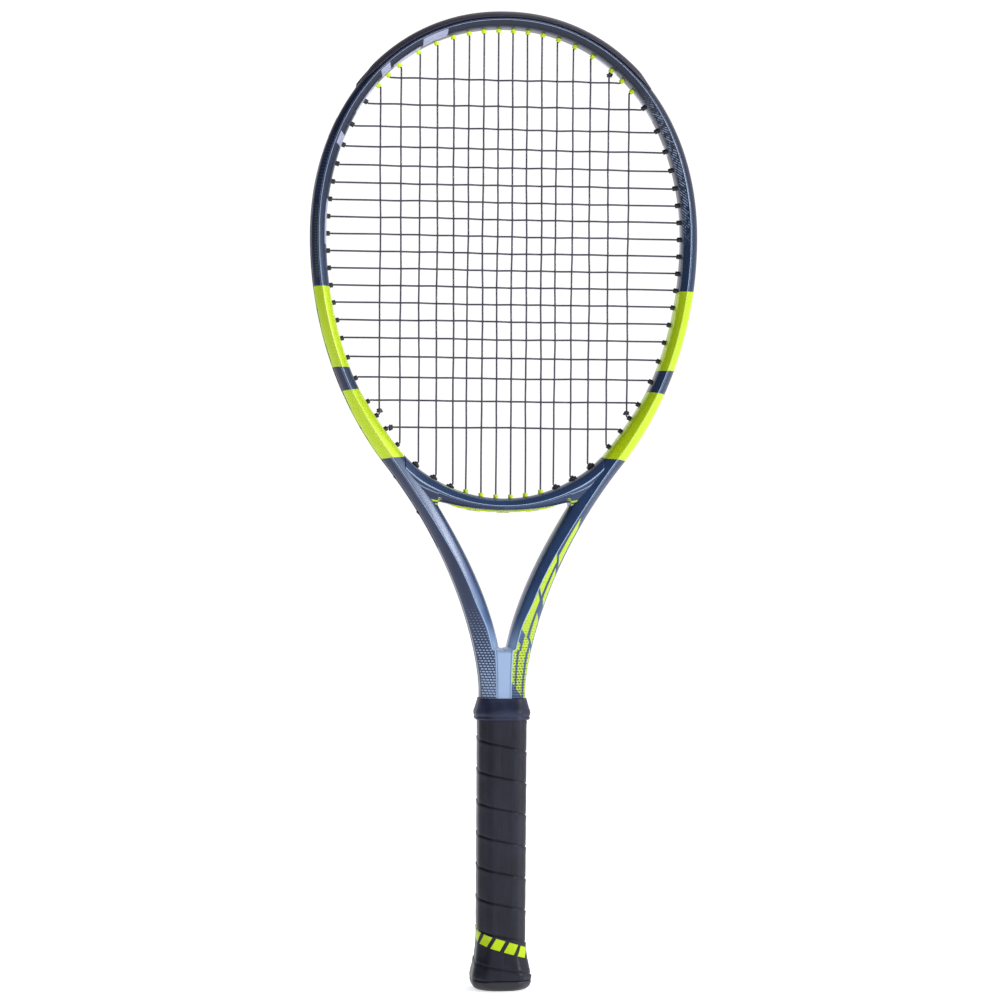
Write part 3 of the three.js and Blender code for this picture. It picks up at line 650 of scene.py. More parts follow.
bridgeSizes = {
    "topZ": 344,
    "topRadius": 95.93,
    "thickness": 8.5,
    "bottomRadius": 170,
    "depth": 20,
    "endDepth": 23,
    "grooveDepth": 1.2,
    "grooveHalfWidth": 3.4,
    "halfLength": 70,
    "crestDrop": 5.2,
    "endCrestDrop": 8.4,
    "stripHalfLength": 41,
    "cornerRadius": 6,
    "cornerDrop": 0.85,
    "armCover": 2.5,
    "freeHalfLength": 34,
    "sink": 0.3,
    "endSink": 0.6,
    "endSinkRange": (46, 60),
    "ringCount": 220,
}

mainsPerSide = stringSizes["mains"] // 2
lastPlace = mainsPerSide - 0.5
mainSpacing = stringSizes["lastMainX"] / lastPlace - stringSizes["mainSpread"] * lastPlace ** 2


def mainX(i):
    return mainSpacing * (i - 0.5) + stringSizes["mainSpread"] * (i - 0.5) ** 3


def crossZ(j):
    n = (stringSizes["crosses"] + 1) / 2 - j
    s = stringSizes
    return s["crossMiddleZ"] + s["crossSpacing"] * n + s["crossSpread"] * n ** 5


def bedLow(x):
    r = bridgeSizes["topRadius"]
    return bridgeSizes["topZ"] + r - math.sqrt(r * r - x * x)


def bridgeLow(x):
    r = bridgeSizes["bottomRadius"]
    return bridgeSizes["topZ"] - bridgeSizes["thickness"] + r - math.sqrt(r * r - x * x)


# The distance between two limits at which a measure changes sign.
def findZero(measure, low, high):
    start = measure(low) > 0
    for _ in range(45):
        middle = (low + high) / 2
        if (measure(middle) > 0) == start:
            low = middle
        else:
            high = middle
    return (low + high) / 2


def innerWall(distance):
    at = station(distance)
    return at["point"] + at["inward"] * at["fullWidth"]


def upright(flat):
    return Vector((flat.x, 0, flat.y))


def hoopBarrel(kind, number, low, high):
    target = mainX(number) if kind == "main" else crossZ(number)
    axis = 0 if kind == "main" else 1
    distance = findZero(lambda s: innerWall(s)[axis] - target, low, high)
    at = station(distance)
    return {"distance": distance, "at": at, "outward": upright(-at["inward"])}


def setHoopBarrel(barrel, headEnd):
    at = barrel["at"]
    step = barrelSizes["strip"] + barrelSizes["gap"]
    under = step if barrel["distance"] < headEnd else 0
    top = at["groove"] - under - step
    floor = upright(at["point"])
    barrel["tip"] = floor - barrel["outward"] * (at["fullWidth"] + barrelSizes["reach"])
    barrel["seat"] = floor - barrel["outward"] * top
    return barrel


def bridgeBarrel(number):
    x = mainX(number)
    lean = math.asin(x / bridgeSizes["bottomRadius"])
    seat = bridgeLow(x) + bridgeSizes["grooveDepth"] - barrelSizes["gap"] - barrelSizes["strip"]
    return {
        "outward": Vector((0, 0, -1)),
        "normal": Vector((math.sin(lean), 0, -math.cos(lean))),
        "tip": Vector((x, 0, bedLow(x) + barrelSizes["reach"])),
        "seat": Vector((x, 0, seat)),
    }


# The yoke barrels lean out from the bed to the outside of the arms.
def yokeBarrel(number):
    x = mainX(number)
    lean = math.radians(barrelSizes["yokeLeans"][number - 4])
    outward = Vector((math.sin(lean), 0, -math.cos(lean)))
    wall = Vector((x, 0, bedLow(x) + 0.4)) + outward * 0.5
    distance = findZero(
        lambda s: (upright(outlineAt(s)) - wall).cross(outward).y, curveEnds[1] - 30, curveEnds[2] - 60)
    at = station(distance)
    depth = at["groove"] / abs(upright(at["inward"]).dot(outward))
    length = (upright(at["point"]) - wall).length - depth + 0.6
    return {
        "number": number,
        "distance": distance,
        "outward": outward,
        "tip": wall - outward * barrelSizes["reach"],
        "seat": wall + outward * (length + barrelSizes["strip"]),
    }


hoopEnd = curveEnds[1] + 20
headMains = [hoopBarrel("main", i, 0, curveEnds[0]) for i in range(1, mainsPerSide + 1)]
crosses = [hoopBarrel("cross", j, 0, hoopEnd) for j in range(1, stringSizes["crosses"] + 1)]
lowMains = [hoopBarrel("main", i, curveEnds[0], hoopEnd) for i in range(7, mainsPerSide + 1)]
headStripEnd = (headMains[-1]["distance"] + crosses[1]["distance"]) / 2
sideStripEnd = max(b["distance"] for b in lowMains) + 7
for hole in headMains + crosses + lowMains:
    setHoopBarrel(hole, headStripEnd)
bridgeBarrels = [bridgeBarrel(i) for i in (1, 2, 3)]
yokeBarrels = [yokeBarrel(i) for i in (4, 5, 6)]
print("outline and holes worked out")


paint = {
    "headColor": tone("0c152c"),
    "hoopColor": tone("101e39"),
    "sideColor": tone("213653"),
    "armColor": tone("304872"),
    "shaftColor": tone("4d6993"),
    # Dark navy for random patches, print and painted shade on the inner wall
    "navyAndShade": tone("121d38"),
    # Painted shade on the outer side
    "outerShade": tone("141d3c"),
    # Pale blue for print and for painted highlights
    "paleBlueAndHighlight": tone("a9c0e2"),
    "lime": tone("b6d200"),
    "silver": tone("a4a9c6"),
    "bands": ((434.7, 490.8), (371, 418)),
    "bandTilt": 1.8,
    "rungStep": 2.4,
    "rungZone": (552, 596),
    "tickStep": 2.0,
    "tickZone": (497, 548),
    "hatchStep": 2.3,
    "hatchSlant": 16.0,
    "hatchZone": (128, 228),
    "fleckZone": (140, 222),
    "blockSlant": 6.0,
    "shardSlant": 34.0,
    "shardLineStep": 1.7,
    "dashRow": 1.9,
    "dashZone": (268, 206),
    "blocks": (
        # from and to along the tube, then across it
        (41, 61, 0.56, 0.94),
        (63, 88, 0.87, 1.1),
        (91, 100, 0.56, 0.96),
        (105, 133, 0.88, 1.1),
        (153, 162, 0.60, 1.1),
        (202, 235, 0.82, 1.1),
    ),
    "shards": (
        # lowest and highest, then nearest and farthest from the outer edge across the tube
        (300, 327, 0.10, 0.34),
        (279, 303, 0.31, 0.49),
        (271, 293, 0.06, 0.22),
        (250, 276, 0.31, 0.49),
        (244, 261, 0.06, 0.24),
        (208, 246, 0.22, 0.36),
        (203, 238, 0.02, 0.13),
        (214, 243, 0.41, 0.49),
    ),
}


# Deep blue at the head running to steel blue at the shaft, with lime bands and generic marks
def makeFramePaint(name, bridge=False):
    f = Finish(name)
    p = paint
    place = f.place()
    x, y, z = f.split(place)
    across = f.attribute("across")
    hand = f.fade(x * y * -1.0, -2, 2)
    otherHand = 1.0 - hand
    color = f.ramp(z / 700.0, [
        (0.27, p["shaftColor"]),
        (0.36, p["shaftColor"]),
        (0.41, p["armColor"]),
        (0.60, p["sideColor"]),
        (0.72, p["sideColor"]),
        (0.82, p["hoopColor"]),
        (0.95, p["headColor"]),
    ])

    def lay(mask, key):
        nonlocal color
        color = f.mix(mask, color, p[key])

    lay(f.fade(f.noise(place, 0.05, 4.0), 0.35, 0.75, 0.0, 0.22), "navyAndShade")

    # Painted shade makes the inner wall darker than the crest, and a painted highlight makes the face between
    # the legs of the shaft pale.
    lay(f.fade(across, 0.72, 0.98) * f.fade(z, 236, 262) * 0.55, "navyAndShade")
    lay(f.fade(across, 0.50, 0.60) * f.fade(z, 262, 238) * 0.65, "paleBlueAndHighlight")

    if not bridge:
        # Fine rungs and lime ticks on the outer side of the hoop, on the left
        along = f.attribute("along")
        rungs = f.stripes(along, p["rungStep"], 0.36) * f.band(across, 0.2, 0.46, 0.02)
        lay(rungs * f.band(z, *p["rungZone"], 4) * otherHand * 0.3, "paleBlueAndHighlight")
        ticks = f.stripes(along, p["tickStep"], 0.5) * f.band(across, 0.24, 0.36, 0.02)
        lay(ticks * f.band(z, *p["tickZone"], 1) * otherHand * 0.5, "lime")

        # Fine slanted hatching with a few lime flecks on the inner face, on the right
        broken = f.fade(f.noise(place, 0.35, 2.0), 0.42, 0.56)
        hatch = f.stripes(along + across * p["hatchSlant"], p["hatchStep"], 0.4)
        hatch = hatch * f.band(across, 0.56, 0.9, 0.03) * f.band(along, *p["hatchZone"], 14)
        lay(hatch * hand * broken * 0.62, "paleBlueAndHighlight")
        flecks = f.fade(f.cells(f.join(along, across * 14.0), 0.11), 0.2, 0.12) * f.band(across, 0.6, 0.9, 0.02)
        lay(flecks * f.band(along, *p["fleckZone"], 8) * hand * 0.75, "lime")

        # Plain silver blocks on the inner face of the head, on the left
        lean = along - across * p["blockSlant"]
        for low, high, near, far in p["blocks"]:
            lay(f.band(lean, low, high, 0.5) * f.band(across, near, far, 0.015) * otherHand * 0.85, "silver")

    # Painted shade: the outer side is darker, most of all on the left, which faces away from the key light.
    lay(f.fade(across, 0.5, 0.43) * f.fade(hand, 0.0, 1.0, 0.78, 0.34), "outerShade")

    # A painted highlight: a light line along the crest and a fainter one next to it
    besideHighlight = f.band(across, 0.412, 0.43, 0.01) * f.fade(z, 330, 350) * 0.5
    crestHighlight = f.calc("MAXIMUM", f.band(across, 0.482, 0.512, 0.012) * 0.85, besideHighlight)

    if bridge:
        # Thin lime lines on the underside near the arms, and one along the bed on the left
        lines = f.calc("MAXIMUM", f.band(across, 0.13, 0.17, 0.01), f.band(across, 0.22, 0.26, 0.01))
        facing = x * f.fade(y, -1, 1, 1, -1)
        bedLine = f.band(across, 0.86, 0.9, 0.01) * f.band(facing, -45, -27, 1)
        lay(f.calc("MAXIMUM", lines * f.band(f.calc("ABSOLUTE", x), 45, 58, 1.5), bedLine), "lime")
    else:
        # Lime bands round the hoop, which dull the painted crest highlight
        upper, lower = p["bands"]
        isLime = f.calc("MAXIMUM", f.band(z, *upper, 0.25), f.band(z - across * p["bandTilt"], *lower, 0.25))
        lay(isLime, "lime")
        crestHighlight = crestHighlight * (1.0 - isLime * 0.75)

        # Shards of lime down the right arm, crossed by fine dark lines
        whole = 1.0 - f.stripes(z + across * 20.0, p["shardLineStep"], 0.3) * 0.42
        for low, high, near, far in p["shards"]:
            run = z - (across - (near + far) / 2) * p["shardSlant"]
            lay(f.band(run, low, high, 0.6) * f.band(across, near, far, 0.012) * hand * whole, "lime")

        # Dashes that grow toward the handle
        rows = z / p["dashRow"]
        dashRun = x * 0.42 + f.calc("FLOOR", rows) * 0.37
        column = f.calc("LESS_THAN", f.calc("FRACT", dashRun), f.fade(z, *p["dashZone"], 0.35, 0.8))
        tall = f.calc("LESS_THAN", f.calc("FRACT", rows), f.fade(z, *p["dashZone"], 0.1, 0.62))
        dashes = column * tall * f.band(across, 0.06, 0.47, 0.02) * f.fade(z, 272, 262)
        lay(dashes * hand * 0.8, "navyAndShade")
        lay(dashes * otherHand * 0.75, "paleBlueAndHighlight")

    # The painted crest highlight goes on last, over the marks.
    lay(crestHighlight, "paleBlueAndHighlight")
    scuffs = f.fade(f.noise(place, 0.9, 6.0, 0.7), 0.55, 0.78)
    f.bump(f.noise(place, 1.4, 2.0), 0.05, 0.0004)
    return f.done(
        Base_Color=color,
        Roughness=scuffs * 0.16 + 0.34,
        Metallic=0.15,
        Specular_IOR_Level=0.35,
        Coat_Weight=0.22,
        Coat_Roughness=0.2,
    )


# Moulded nylon: a fine matte grain with rubbed patches
def makeNylon(name, color, worn, roughness):
    f = Finish(name)
    place = f.place()
    patches = f.fade(f.noise(place, 0.12, 5.0, 0.65), 0.45, 0.75, 0.0, 0.25)
    grain = f.noise(place, 2.6, 3.0)
    f.bump(grain, 0.22, 0.0003)
    return f.done(Base_Color=f.mix(patches, color, worn), Roughness=grain * 0.14 + roughness)


# The guard: nylon with scratches that run along the hoop
def makeBumperNylon():
    f = Finish("bumperNylon")
    scratch = f.noise(f.join(f.attribute("along") * 0.06, f.attribute("across") * 22.0), 1.0, 5.0, 0.7)
    marks = f.fade(scratch, 0.52, 0.72, 0.0, 0.5)
    grain = f.noise(f.place(), 2.2, 3.0)
    f.bump(grain + marks * 0.8, 0.3, 0.0003)
    return f.done(
        Base_Color=f.mix(marks, tone("2a2838"), tone("5a566c")),
        Roughness=grain * 0.18 + 0.42,
    )


# Coated multifilament: fine fibres wind round the string.
def makeStringFinish():
    f = Finish("stringCoat")
    place = f.place()
    x, y, z = f.split(place)
    wind = f.stripes(x + z + y * 2.2, 0.9, 0.5, 0.2)
    dust = f.fade(f.noise(place, 0.16, 4.0), 0.4, 0.7, 0.1, 0.5)
    f.bump(wind, 0.25, 0.00015)
    return f.done(
        Base_Color=f.mix(dust, tone("2c2738"), tone("4b4660")),
        Roughness=f.fade(wind, 0, 1, 0.42, 0.34),
        Coat_Weight=0.2,
    )


framePaint = makeFramePaint("framePaint")
bridgePaint = makeFramePaint("bridgePaint", bridge=True)
bumperNylon = makeBumperNylon()
limeNylon = makeNylon("limeNylon", tone("cdea12"), tone("a9c41a"), 0.42)
blackNylon = makeNylon("blackNylon", tone("16161c"), tone("2c2c36"), 0.45)
stringCoat = makeStringFinish()


frameMesh = bandMesh("racket_frame", sectionCorners, tubeStations())
makePiece("racket_frame", frameMesh, framePaint, "frame_tube")


def innerWallX(z):
    return innerWall(findZero(lambda s: innerWall(s).y - z, curveEnds[1] - 20, curveEnds[2] - 20)).x


def outerEdgeZ(x):
    return outlineAt(findZero(lambda s: outlineAt(s).x - x, curveEnds[1] - 40, curveEnds[2])).y


# The underside runs into a rounded corner where it meets each arm, and beyond that it hides in the arm.
cornerX = 45
for _ in range(30):
    cornerX = innerWallX(bridgeLow(cornerX))
cornerZ = bridgeLow(cornerX)


def bridgeUnder(x):
    x = abs(x)
    size = bridgeSizes["cornerRadius"]
    if x <= cornerX - size:
        return bridgeLow(x)
    lowZ = cornerZ - bridgeSizes["cornerDrop"] * size
    start = Vector((cornerX - size, bridgeLow(cornerX - size)))
    end = Vector((innerWallX(lowZ), lowZ))
    corner = Vector((cornerX, cornerZ))

    def curveAt(t):
        return start.lerp(corner, t).lerp(corner.lerp(end, t), t)

    steps = 40
    for step in range(steps + 1):
        here, ahead = curveAt(step / steps), curveAt((step + 1) / steps)
        if ahead.x >= x:
            return here.y
        if ahead.x <= here.x:
            break
    return max(lowZ, outerEdgeZ(x) + bridgeSizes["armCover"])


# The tube's half depth at a place inside its outline, or nothing outside it.
def tubeDepthAt(x, z):
    here = Vector((abs(x), z))
    distance = findZero(
        lambda s: (here - outlineAt(s)).dot(outlineAt(s + 0.5) - outlineAt(s - 0.5)),
        curveEnds[1] - 45, curveEnds[2])
    at = station(distance)
    u = (here - at["point"]).dot(at["inward"])
    if u > at["crest"] * at["width"]:
        return None
    shape = [(-20, 0.2)] + [corner[:2] for corner in sectionCorners(at)[2:5]]
    for (a, low), (b, high) in zip(shape, shape[1:]):
        if u <= b:
            return lerp(low, high, (u - a) / (b - a))
    return at["depth"] / 2


def bridgeCorners(x):
    b = bridgeSizes
    # At its ends the bridge's top goes a little under the hoop's inner wall.
    top = bedLow(x) - b["endSink"] * smoothstep(abs(x), *b["endSinkRange"])
    under = bridgeUnder(x)
    depth = lerp(b["depth"], b["endDepth"], abs(x) / b["halfLength"])
    groove = b["grooveDepth"] * (1 - smoothstep(abs(x), b["stripHalfLength"] + 0.5, b["stripHalfLength"] + 3))
    crest = max(top - lerp(b["crestDrop"], b["endCrestDrop"], (x / b["halfLength"]) ** 2), under + 1.5)
    return [
        (top, 0.2 * depth, 1.8, 3, 1),
        (lerp(crest, top, 0.72), 0.4 * depth, 1.4, 3, 0.8),
        (crest, 0.5 * depth, 0.7, 4, 0.5),
        (lerp(under, crest, 0.36), 0.43 * depth, 1.0, 3, 0.25),
        (under, 0.34 * depth, 1.0, 3, 0.05),
        (under, b["grooveHalfWidth"], 0.3, 2, 0),
        (under + max(groove, 0.02), b["grooveHalfWidth"], 0.2, 1, -0.1),
    ]


def makeBridge():
    reach = bridgeSizes["halfLength"]
    rings, across = [], []
    count = bridgeSizes["ringCount"]
    for i in range(count + 1):
        x = lerp(-reach, reach, i / count)
        ring = []
        for z, y, value in fullOutline(bridgeCorners(x)):
            # Near the arms the bridge stays inside their skin.
            limit = tubeDepthAt(x, z) if abs(x) > bridgeSizes["freeHalfLength"] else None
            if limit is not None:
                y = math.copysign(min(abs(y), max(limit - bridgeSizes["sink"], 0.1)), y)
            ring.append((x, y, z))
            across.append(value)
        rings.append(ring)
    mesh = ringMesh("racket_bridge", rings, attributes={"across": across})
    makePiece("racket_bridge", mesh, bridgePaint, "throat_bridge")


makeBridge()


bumperSizes = {
    "thickness": 1.4,
    "gap": 0.3,
    "channelHalfWidth": 3.2,
    "wing": 0.42,
    "endTaper": 16,
}


def bumperCorners(at):
    b = bumperSizes
    corners = sectionCorners(at)
    lip, shoulder, crest = corners[2], corners[3], corners[4]
    taper = smoothstep(headStripEnd - b["gap"] - at["distance"], 0, b["endTaper"])
    wing = Vector(shoulder[:2]).lerp(Vector(crest[:2]), b["wing"] * taper)
    slope = (Vector(shoulder[:2]) - Vector(lip[:2])).normalized()
    rise = (wing - Vector(shoulder[:2])).normalized() if taper > 0.01 else slope
    outer = lerp(0.3, b["gap"] + b["thickness"], taper)
    foot = at["groove"] - b["gap"]

    def off(base, way, distance):
        return base[0] - way.y * distance, base[1] + way.x * distance

    side = tubeSizes["grooveHalfWidth"] - b["gap"]
    return [
        (foot, side, 0.2, 1, 0),
        (-b["gap"] * taper, side, 0.2, 1, 0.05),
        (-b["gap"] * taper, lip[1] + 0.15 * taper, 0.3, 1, 0.1),
        (*off(shoulder, slope, b["gap"] * taper), 0.6, 2, 0.2),
        (*off(wing, rise, 0.1 * taper), 0.1, 1, 0.3),
        (*off(wing, rise, outer * 0.55), 0.25, 2, 0.35),
        (*off(shoulder, slope, outer), 1.6, 3, 0.5),
        (-outer, lip[1] + 0.5, 1.2, 3, 0.7),
        (-outer, b["channelHalfWidth"], 0.45, 2, 0.85),
        (foot - barrelSizes["strip"], b["channelHalfWidth"], 0.3, 1, 1),
    ]


def placesBetween(low, high, step=3.0):
    count = max(1, round((high - low) / step))
    return [lerp(low, high, i / count) for i in range(count + 1)]


bumperPlaces = placesBetween(0, headStripEnd - bumperSizes["gap"], 2.5)
bumperMesh = bandMesh("bumper_guard_visual", bumperCorners, bumperPlaces)
makePiece("bumper_guard_visual", bumperMesh, bumperNylon, "bumper_guard")


def newTree(name, inputs):
    tree = bpy.data.node_groups.new(name, "GeometryNodeTree")
    tree.interface.new_socket("Geometry", in_out="INPUT", socket_type="NodeSocketGeometry")
    for label, kind, value in inputs:
        socket = tree.interface.new_socket(label, in_out="INPUT", socket_type=kind)
        if value is not None:
            socket.default_value = value
    tree.interface.new_socket("Geometry", in_out="OUTPUT", socket_type="NodeSocketGeometry")
    return tree


def addNode(tree, kind, links=None, output=0, **settings):
    node = tree.nodes.new(kind)
    for key, value in settings.items():
        setattr(node, key, value)
    for key, value in (links or {}).items():
        socket = node.inputs[key]
        if isinstance(value, bpy.types.NodeSocket):
            tree.links.new(value, socket)
        else:
            socket.default_value = value
    return node.outputs[output] if len(node.outputs) else node


def giveMaterial(tree, geometry, material):
    finished = addNode(tree, "GeometryNodeSetMaterial", {"Geometry": geometry, "Material": material})
    addNode(tree, "NodeGroupOutput", {"Geometry": finished})


# Every loose point of the mesh gets a barrel that looks along its "outward" and is as long as its "reach".
def makeBarrelTree():
    tree = newTree("barrelsOnPlaces", [
        ("Radius", "NodeSocketFloat", 0.00175),
        ("Bore", "NodeSocketFloat", 0.001),
        ("Lip", "NodeSocketFloat", 0.0003),
        ("Sides", "NodeSocketInt", 14),
        ("Finish", "NodeSocketMaterial", None),
    ])
    given = addNode(tree, "NodeGroupInput").node.outputs
    unitLength = 0.01

    def calc(operation, first, second):
        return addNode(tree, "ShaderNodeMath", {0: first, 1: second}, operation=operation)

    wall = calc("SUBTRACT", given["Radius"], given["Bore"])
    middle = calc("MULTIPLY", calc("ADD", given["Radius"], given["Bore"]), 0.5)
    ring = addNode(tree, "GeometryNodeCurvePrimitiveCircle", {"Resolution": given["Sides"], "Radius": middle})
    section = addNode(tree, "GeometryNodeCurvePrimitiveQuadrilateral", {"Width": wall, "Height": unitLength})
    rounded = addNode(tree, "GeometryNodeFilletCurve", {
        "Curve": section, "Radius": given["Lip"], "Count": 2}, mode="POLY")
    barrel = addNode(tree, "GeometryNodeCurveToMesh", {"Curve": ring, "Profile Curve": rounded})

    outward = addNode(tree, "GeometryNodeInputNamedAttribute", {"Name": "outward"}, data_type="FLOAT_VECTOR")
    reach = addNode(tree, "GeometryNodeInputNamedAttribute", {"Name": "reach"}, data_type="FLOAT")
    turn = addNode(tree, "FunctionNodeAlignRotationToVector", {"Vector": outward}, axis="Z")
    size = addNode(tree, "ShaderNodeCombineXYZ", {"X": 1.0, "Y": 1.0, "Z": calc("DIVIDE", reach, unitLength)})
    places = addNode(tree, "GeometryNodeSeparateGeometry", {
        "Geometry": given["Geometry"], "Selection": calc("GREATER_THAN", reach, 0.0)}, domain="POINT")
    placed = addNode(tree, "GeometryNodeInstanceOnPoints", {
        "Points": places, "Instance": barrel, "Rotation": turn, "Scale": size})
    solid = addNode(tree, "GeometryNodeRealizeInstances", {"Geometry": placed})
    smooth = addNode(tree, "GeometryNodeSetShadeSmooth", {"Geometry": solid})
    joined = addNode(tree, "GeometryNodeJoinGeometry")
    tree.links.new(places.node.outputs["Inverted"], joined.node.inputs["Geometry"])
    tree.links.new(smooth, joined.node.inputs["Geometry"])
    giveMaterial(tree, joined, given["Finish"])
    return tree


# Every edge path of the mesh becomes a round string.
def makeStringTree():
    tree = newTree("stringAlongPath", [
        ("Radius", "NodeSocketFloat", 0.00065),
        ("Sides", "NodeSocketInt", 8),
        ("Finish", "NodeSocketMaterial", None),
    ])
    given = addNode(tree, "NodeGroupInput").node.outputs
    path = addNode(tree, "GeometryNodeMeshToCurve", {"Mesh": given["Geometry"]})
    circle = addNode(tree, "GeometryNodeCurvePrimitiveCircle", {
        "Resolution": given["Sides"], "Radius": given["Radius"]})
    swept = addNode(tree, "GeometryNodeCurveToMesh", {
        "Curve": path, "Profile Curve": circle, "Fill Caps": True})
    smooth = addNode(tree, "GeometryNodeSetShadeSmooth", {"Geometry": swept})
    solid = addNode(tree, "GeometryNodeRealizeInstances", {"Geometry": smooth})
    giveMaterial(tree, solid, given["Finish"])
    return tree


# The mesh that a tree makes of a source mesh, with the tree's inputs set by their identifiers.
def bakeTree(name, source, tree, values):
    holder = addObject(name + "_source", source)
    modifier = holder.modifiers.new("nodes", "NODES")
    modifier.node_group = tree
    for item in tree.interface.items_tree:
        if item.item_type == "SOCKET" and item.in_out == "INPUT" and item.name in values:
            modifier[item.identifier] = values[item.name]
    graph = bpy.context.evaluated_depsgraph_get()
    mesh = bpy.data.meshes.new_from_object(holder.evaluated_get(graph))
    mesh.name = name
    bpy.data.objects.remove(holder)
    return mesh


barrelTree = makeBarrelTree()
stringTree = makeStringTree()


def mirrored(v):
    return Vector((-v.x, v.y, v.z))


# A strip: its band, and a place with a direction for each barrel.
def stripWithBarrels(name, band, barrels, sides, material, node):
    work = bmesh.new()
    work.from_mesh(band)
    start = len(work.verts)
    marks = []
    for barrel in barrels:
        for side in sides:
            tip, seat, outward = barrel["tip"], barrel["seat"], barrel["outward"]
            if side < 0:
                tip, seat, outward = mirrored(tip), mirrored(seat), mirrored(outward)
            inner = seat - outward * (barrelSizes["strip"] / 2)
            work.verts.new((tip + inner) / 2 * mm)
            marks.append((outward, (inner - tip).length * mm))
    source = bpy.data.meshes.new(name + "_places")
    work.to_mesh(source)
    work.free()
    outwards = [(0, 0, 1)] * start + [way for way, _ in marks]
    reaches = [0.0] * start + [reach for _, reach in marks]
    flat = [c for way in outwards for c in way]
    source.attributes.new("outward", "FLOAT_VECTOR", "POINT").data.foreach_set("vector", flat)
    source.attributes.new("reach", "FLOAT", "POINT").data.foreach_set("value", reaches)
    mesh = bakeTree(name, source, barrelTree, {
        "Radius": barrelSizes["radius"] * mm,
        "Bore": barrelSizes["bore"] * mm,
        "Lip": barrelSizes["lip"] * mm,
        "Sides": barrelSizes["sides"],
        "Finish": material,
    })
    makePiece(name, mesh, material, node)


def stripCorners(under, half):
    def corners(at):
        top = at["groove"] - barrelSizes["gap"] - under
        return [(top, half, 0.15, 1, 0), (top - barrelSizes["strip"], half, 0.35, 2, 1)]
    return corners


def makeStrips():
    gapWidth = barrelSizes["gap"]
    headCorners = stripCorners(barrelSizes["strip"] + gapWidth, bumperSizes["channelHalfWidth"] - gapWidth)
    headBand = bandMesh("headBand", headCorners, placesBetween(0, headStripEnd - gapWidth))
    stripWithBarrels("head_grommets", headBand, headMains + [crosses[0]], (1, -1), limeNylon,
                     "head_grommet_strip")
    sideCorners = stripCorners(0, tubeSizes["grooveHalfWidth"] - gapWidth)
    for side, word in ((1, "right"), (-1, "left")):
        places = placesBetween(headStripEnd + gapWidth, sideStripEnd)
        band = bandMesh("sideBand", sideCorners, places, side)
        stripWithBarrels(f"side_grommets_{word}", band, crosses[1:] + lowMains, (side,), blackNylon,
                         f"side_grommet_strip_{word}")


# The strip under the bridge stands a little proud, so that it shows from the front as a lime edge.
def makeBridgeStrip():
    half = bridgeSizes["grooveHalfWidth"] - barrelSizes["gap"]
    reach = bridgeSizes["stripHalfLength"]
    rings = []
    for x in placesBetween(-reach, reach, 2.0):
        top = bridgeLow(x) + bridgeSizes["grooveDepth"] - barrelSizes["gap"]
        low = bridgeLow(x) - 1.3 * (1 - smoothstep(abs(x), reach - 10, reach))
        corners = [(top, half, 0.2, 1, 0), (low, half, 0.5, 3, 1)]
        rings.append([(x, y, z) for z, y, value in fullOutline(corners)])
    band = ringMesh("bridgeBand", rings)
    stripWithBarrels("bridge_grommets", band, bridgeBarrels, (1, -1), limeNylon,
                     "bridge_grommet_strip")


makeStrips()
makeBridgeStrip()


# A single grommet of the yoke: a rounded square flange on the bed and a long barrel.
def makeYokeGrommet(barrel, side, word, count):
    x = mainX(barrel["number"])
    bed = Vector((x, 0, bedLow(x)))
    inward = (Vector((0, 0, bridgeSizes["topZ"] + bridgeSizes["topRadius"])) - bed).normalized()
    acrossBed = Vector((0, 1, 0)).cross(inward)
    half = barrelSizes["flange"] / 2
    outline = roundCorners([(a * half, b * half, 0.9, 3, 0) for a, b in ((1, 1), (-1, 1), (-1, -1), (1, -1))])
    rings = []
    for height, share in ((-0.5, 0.98), (0.4, 1), (1.0, 1), (1.4, 0.9)):
        centre = bed + inward * height
        rings.append([centre + acrossBed * (a * share) + Vector((0, b * share, 0)) for a, b, _ in outline])
    if side < 0:
        rings = [[mirrored(p) for p in ring] for ring in rings]
    flange = ringMesh("flange", rings)
    stripWithBarrels(f"yoke_grommet_{word}_{count}_visual", flange, [barrel], (side,), blackNylon,
                     f"yoke_grommet_{word}_{count}")


for grommetCount, yokeHole in enumerate(yokeBarrels, 1):
    makeYokeGrommet(yokeHole, 1, "right", grommetCount)
    makeYokeGrommet(yokeHole, -1, "left", grommetCount)


rise = stringSizes["radius"] + barrelSizes["gap"]


def bendPoint(barrel):
    return barrel["tip"] - barrel["outward"] * stringSizes["bend"]


# From the bed out through a barrel and down into the groove, heading for another barrel.
def wayOut(barrel, target, side):
    normal = barrel.get("normal", barrel["outward"])
    run = target - barrel["seat"]
    run = (run - normal * run.dot(normal)).normalized()

    def out(height, distance, y):
        return barrel["seat"] + barrel["outward"] * height + run * distance + Vector((0, y, 0))

    return [bendPoint(barrel), barrel["tip"].copy(), out(-0.2, 0, 0), out(rise * 0.7, 0.35, side * 0.05),
            out(rise, 1.2, side * 0.25), out(rise, 3, side)]


def alongGroove(a, b, side):
    if "distance" not in a or "distance" not in b:
        return []
    low, high = sorted((a["distance"], b["distance"]))
    if high - low < stringSizes["shortLoop"]:
        return []
    clear = stringSizes["loopClear"]
    passed = []
    for s in placesBetween(low + clear, high - clear, stringSizes["loopStep"]):
        at = station(s)
        step = barrelSizes["strip"] + barrelSizes["gap"]
        under = step if s < headStripEnd + 2 else 0
        height = at["groove"] - under - step - rise
        passed.append(upright(at["point"] + at["inward"] * height) + Vector((0, side, 0)))
    return passed if a["distance"] < b["distance"] else passed[::-1]


def loopBetween(a, b, side):
    return wayOut(a, b["seat"], side) + alongGroove(a, b, side) + wayOut(b, a["seat"], side)[::-1]


mainLows = bridgeBarrels + yokeBarrels + lowMains


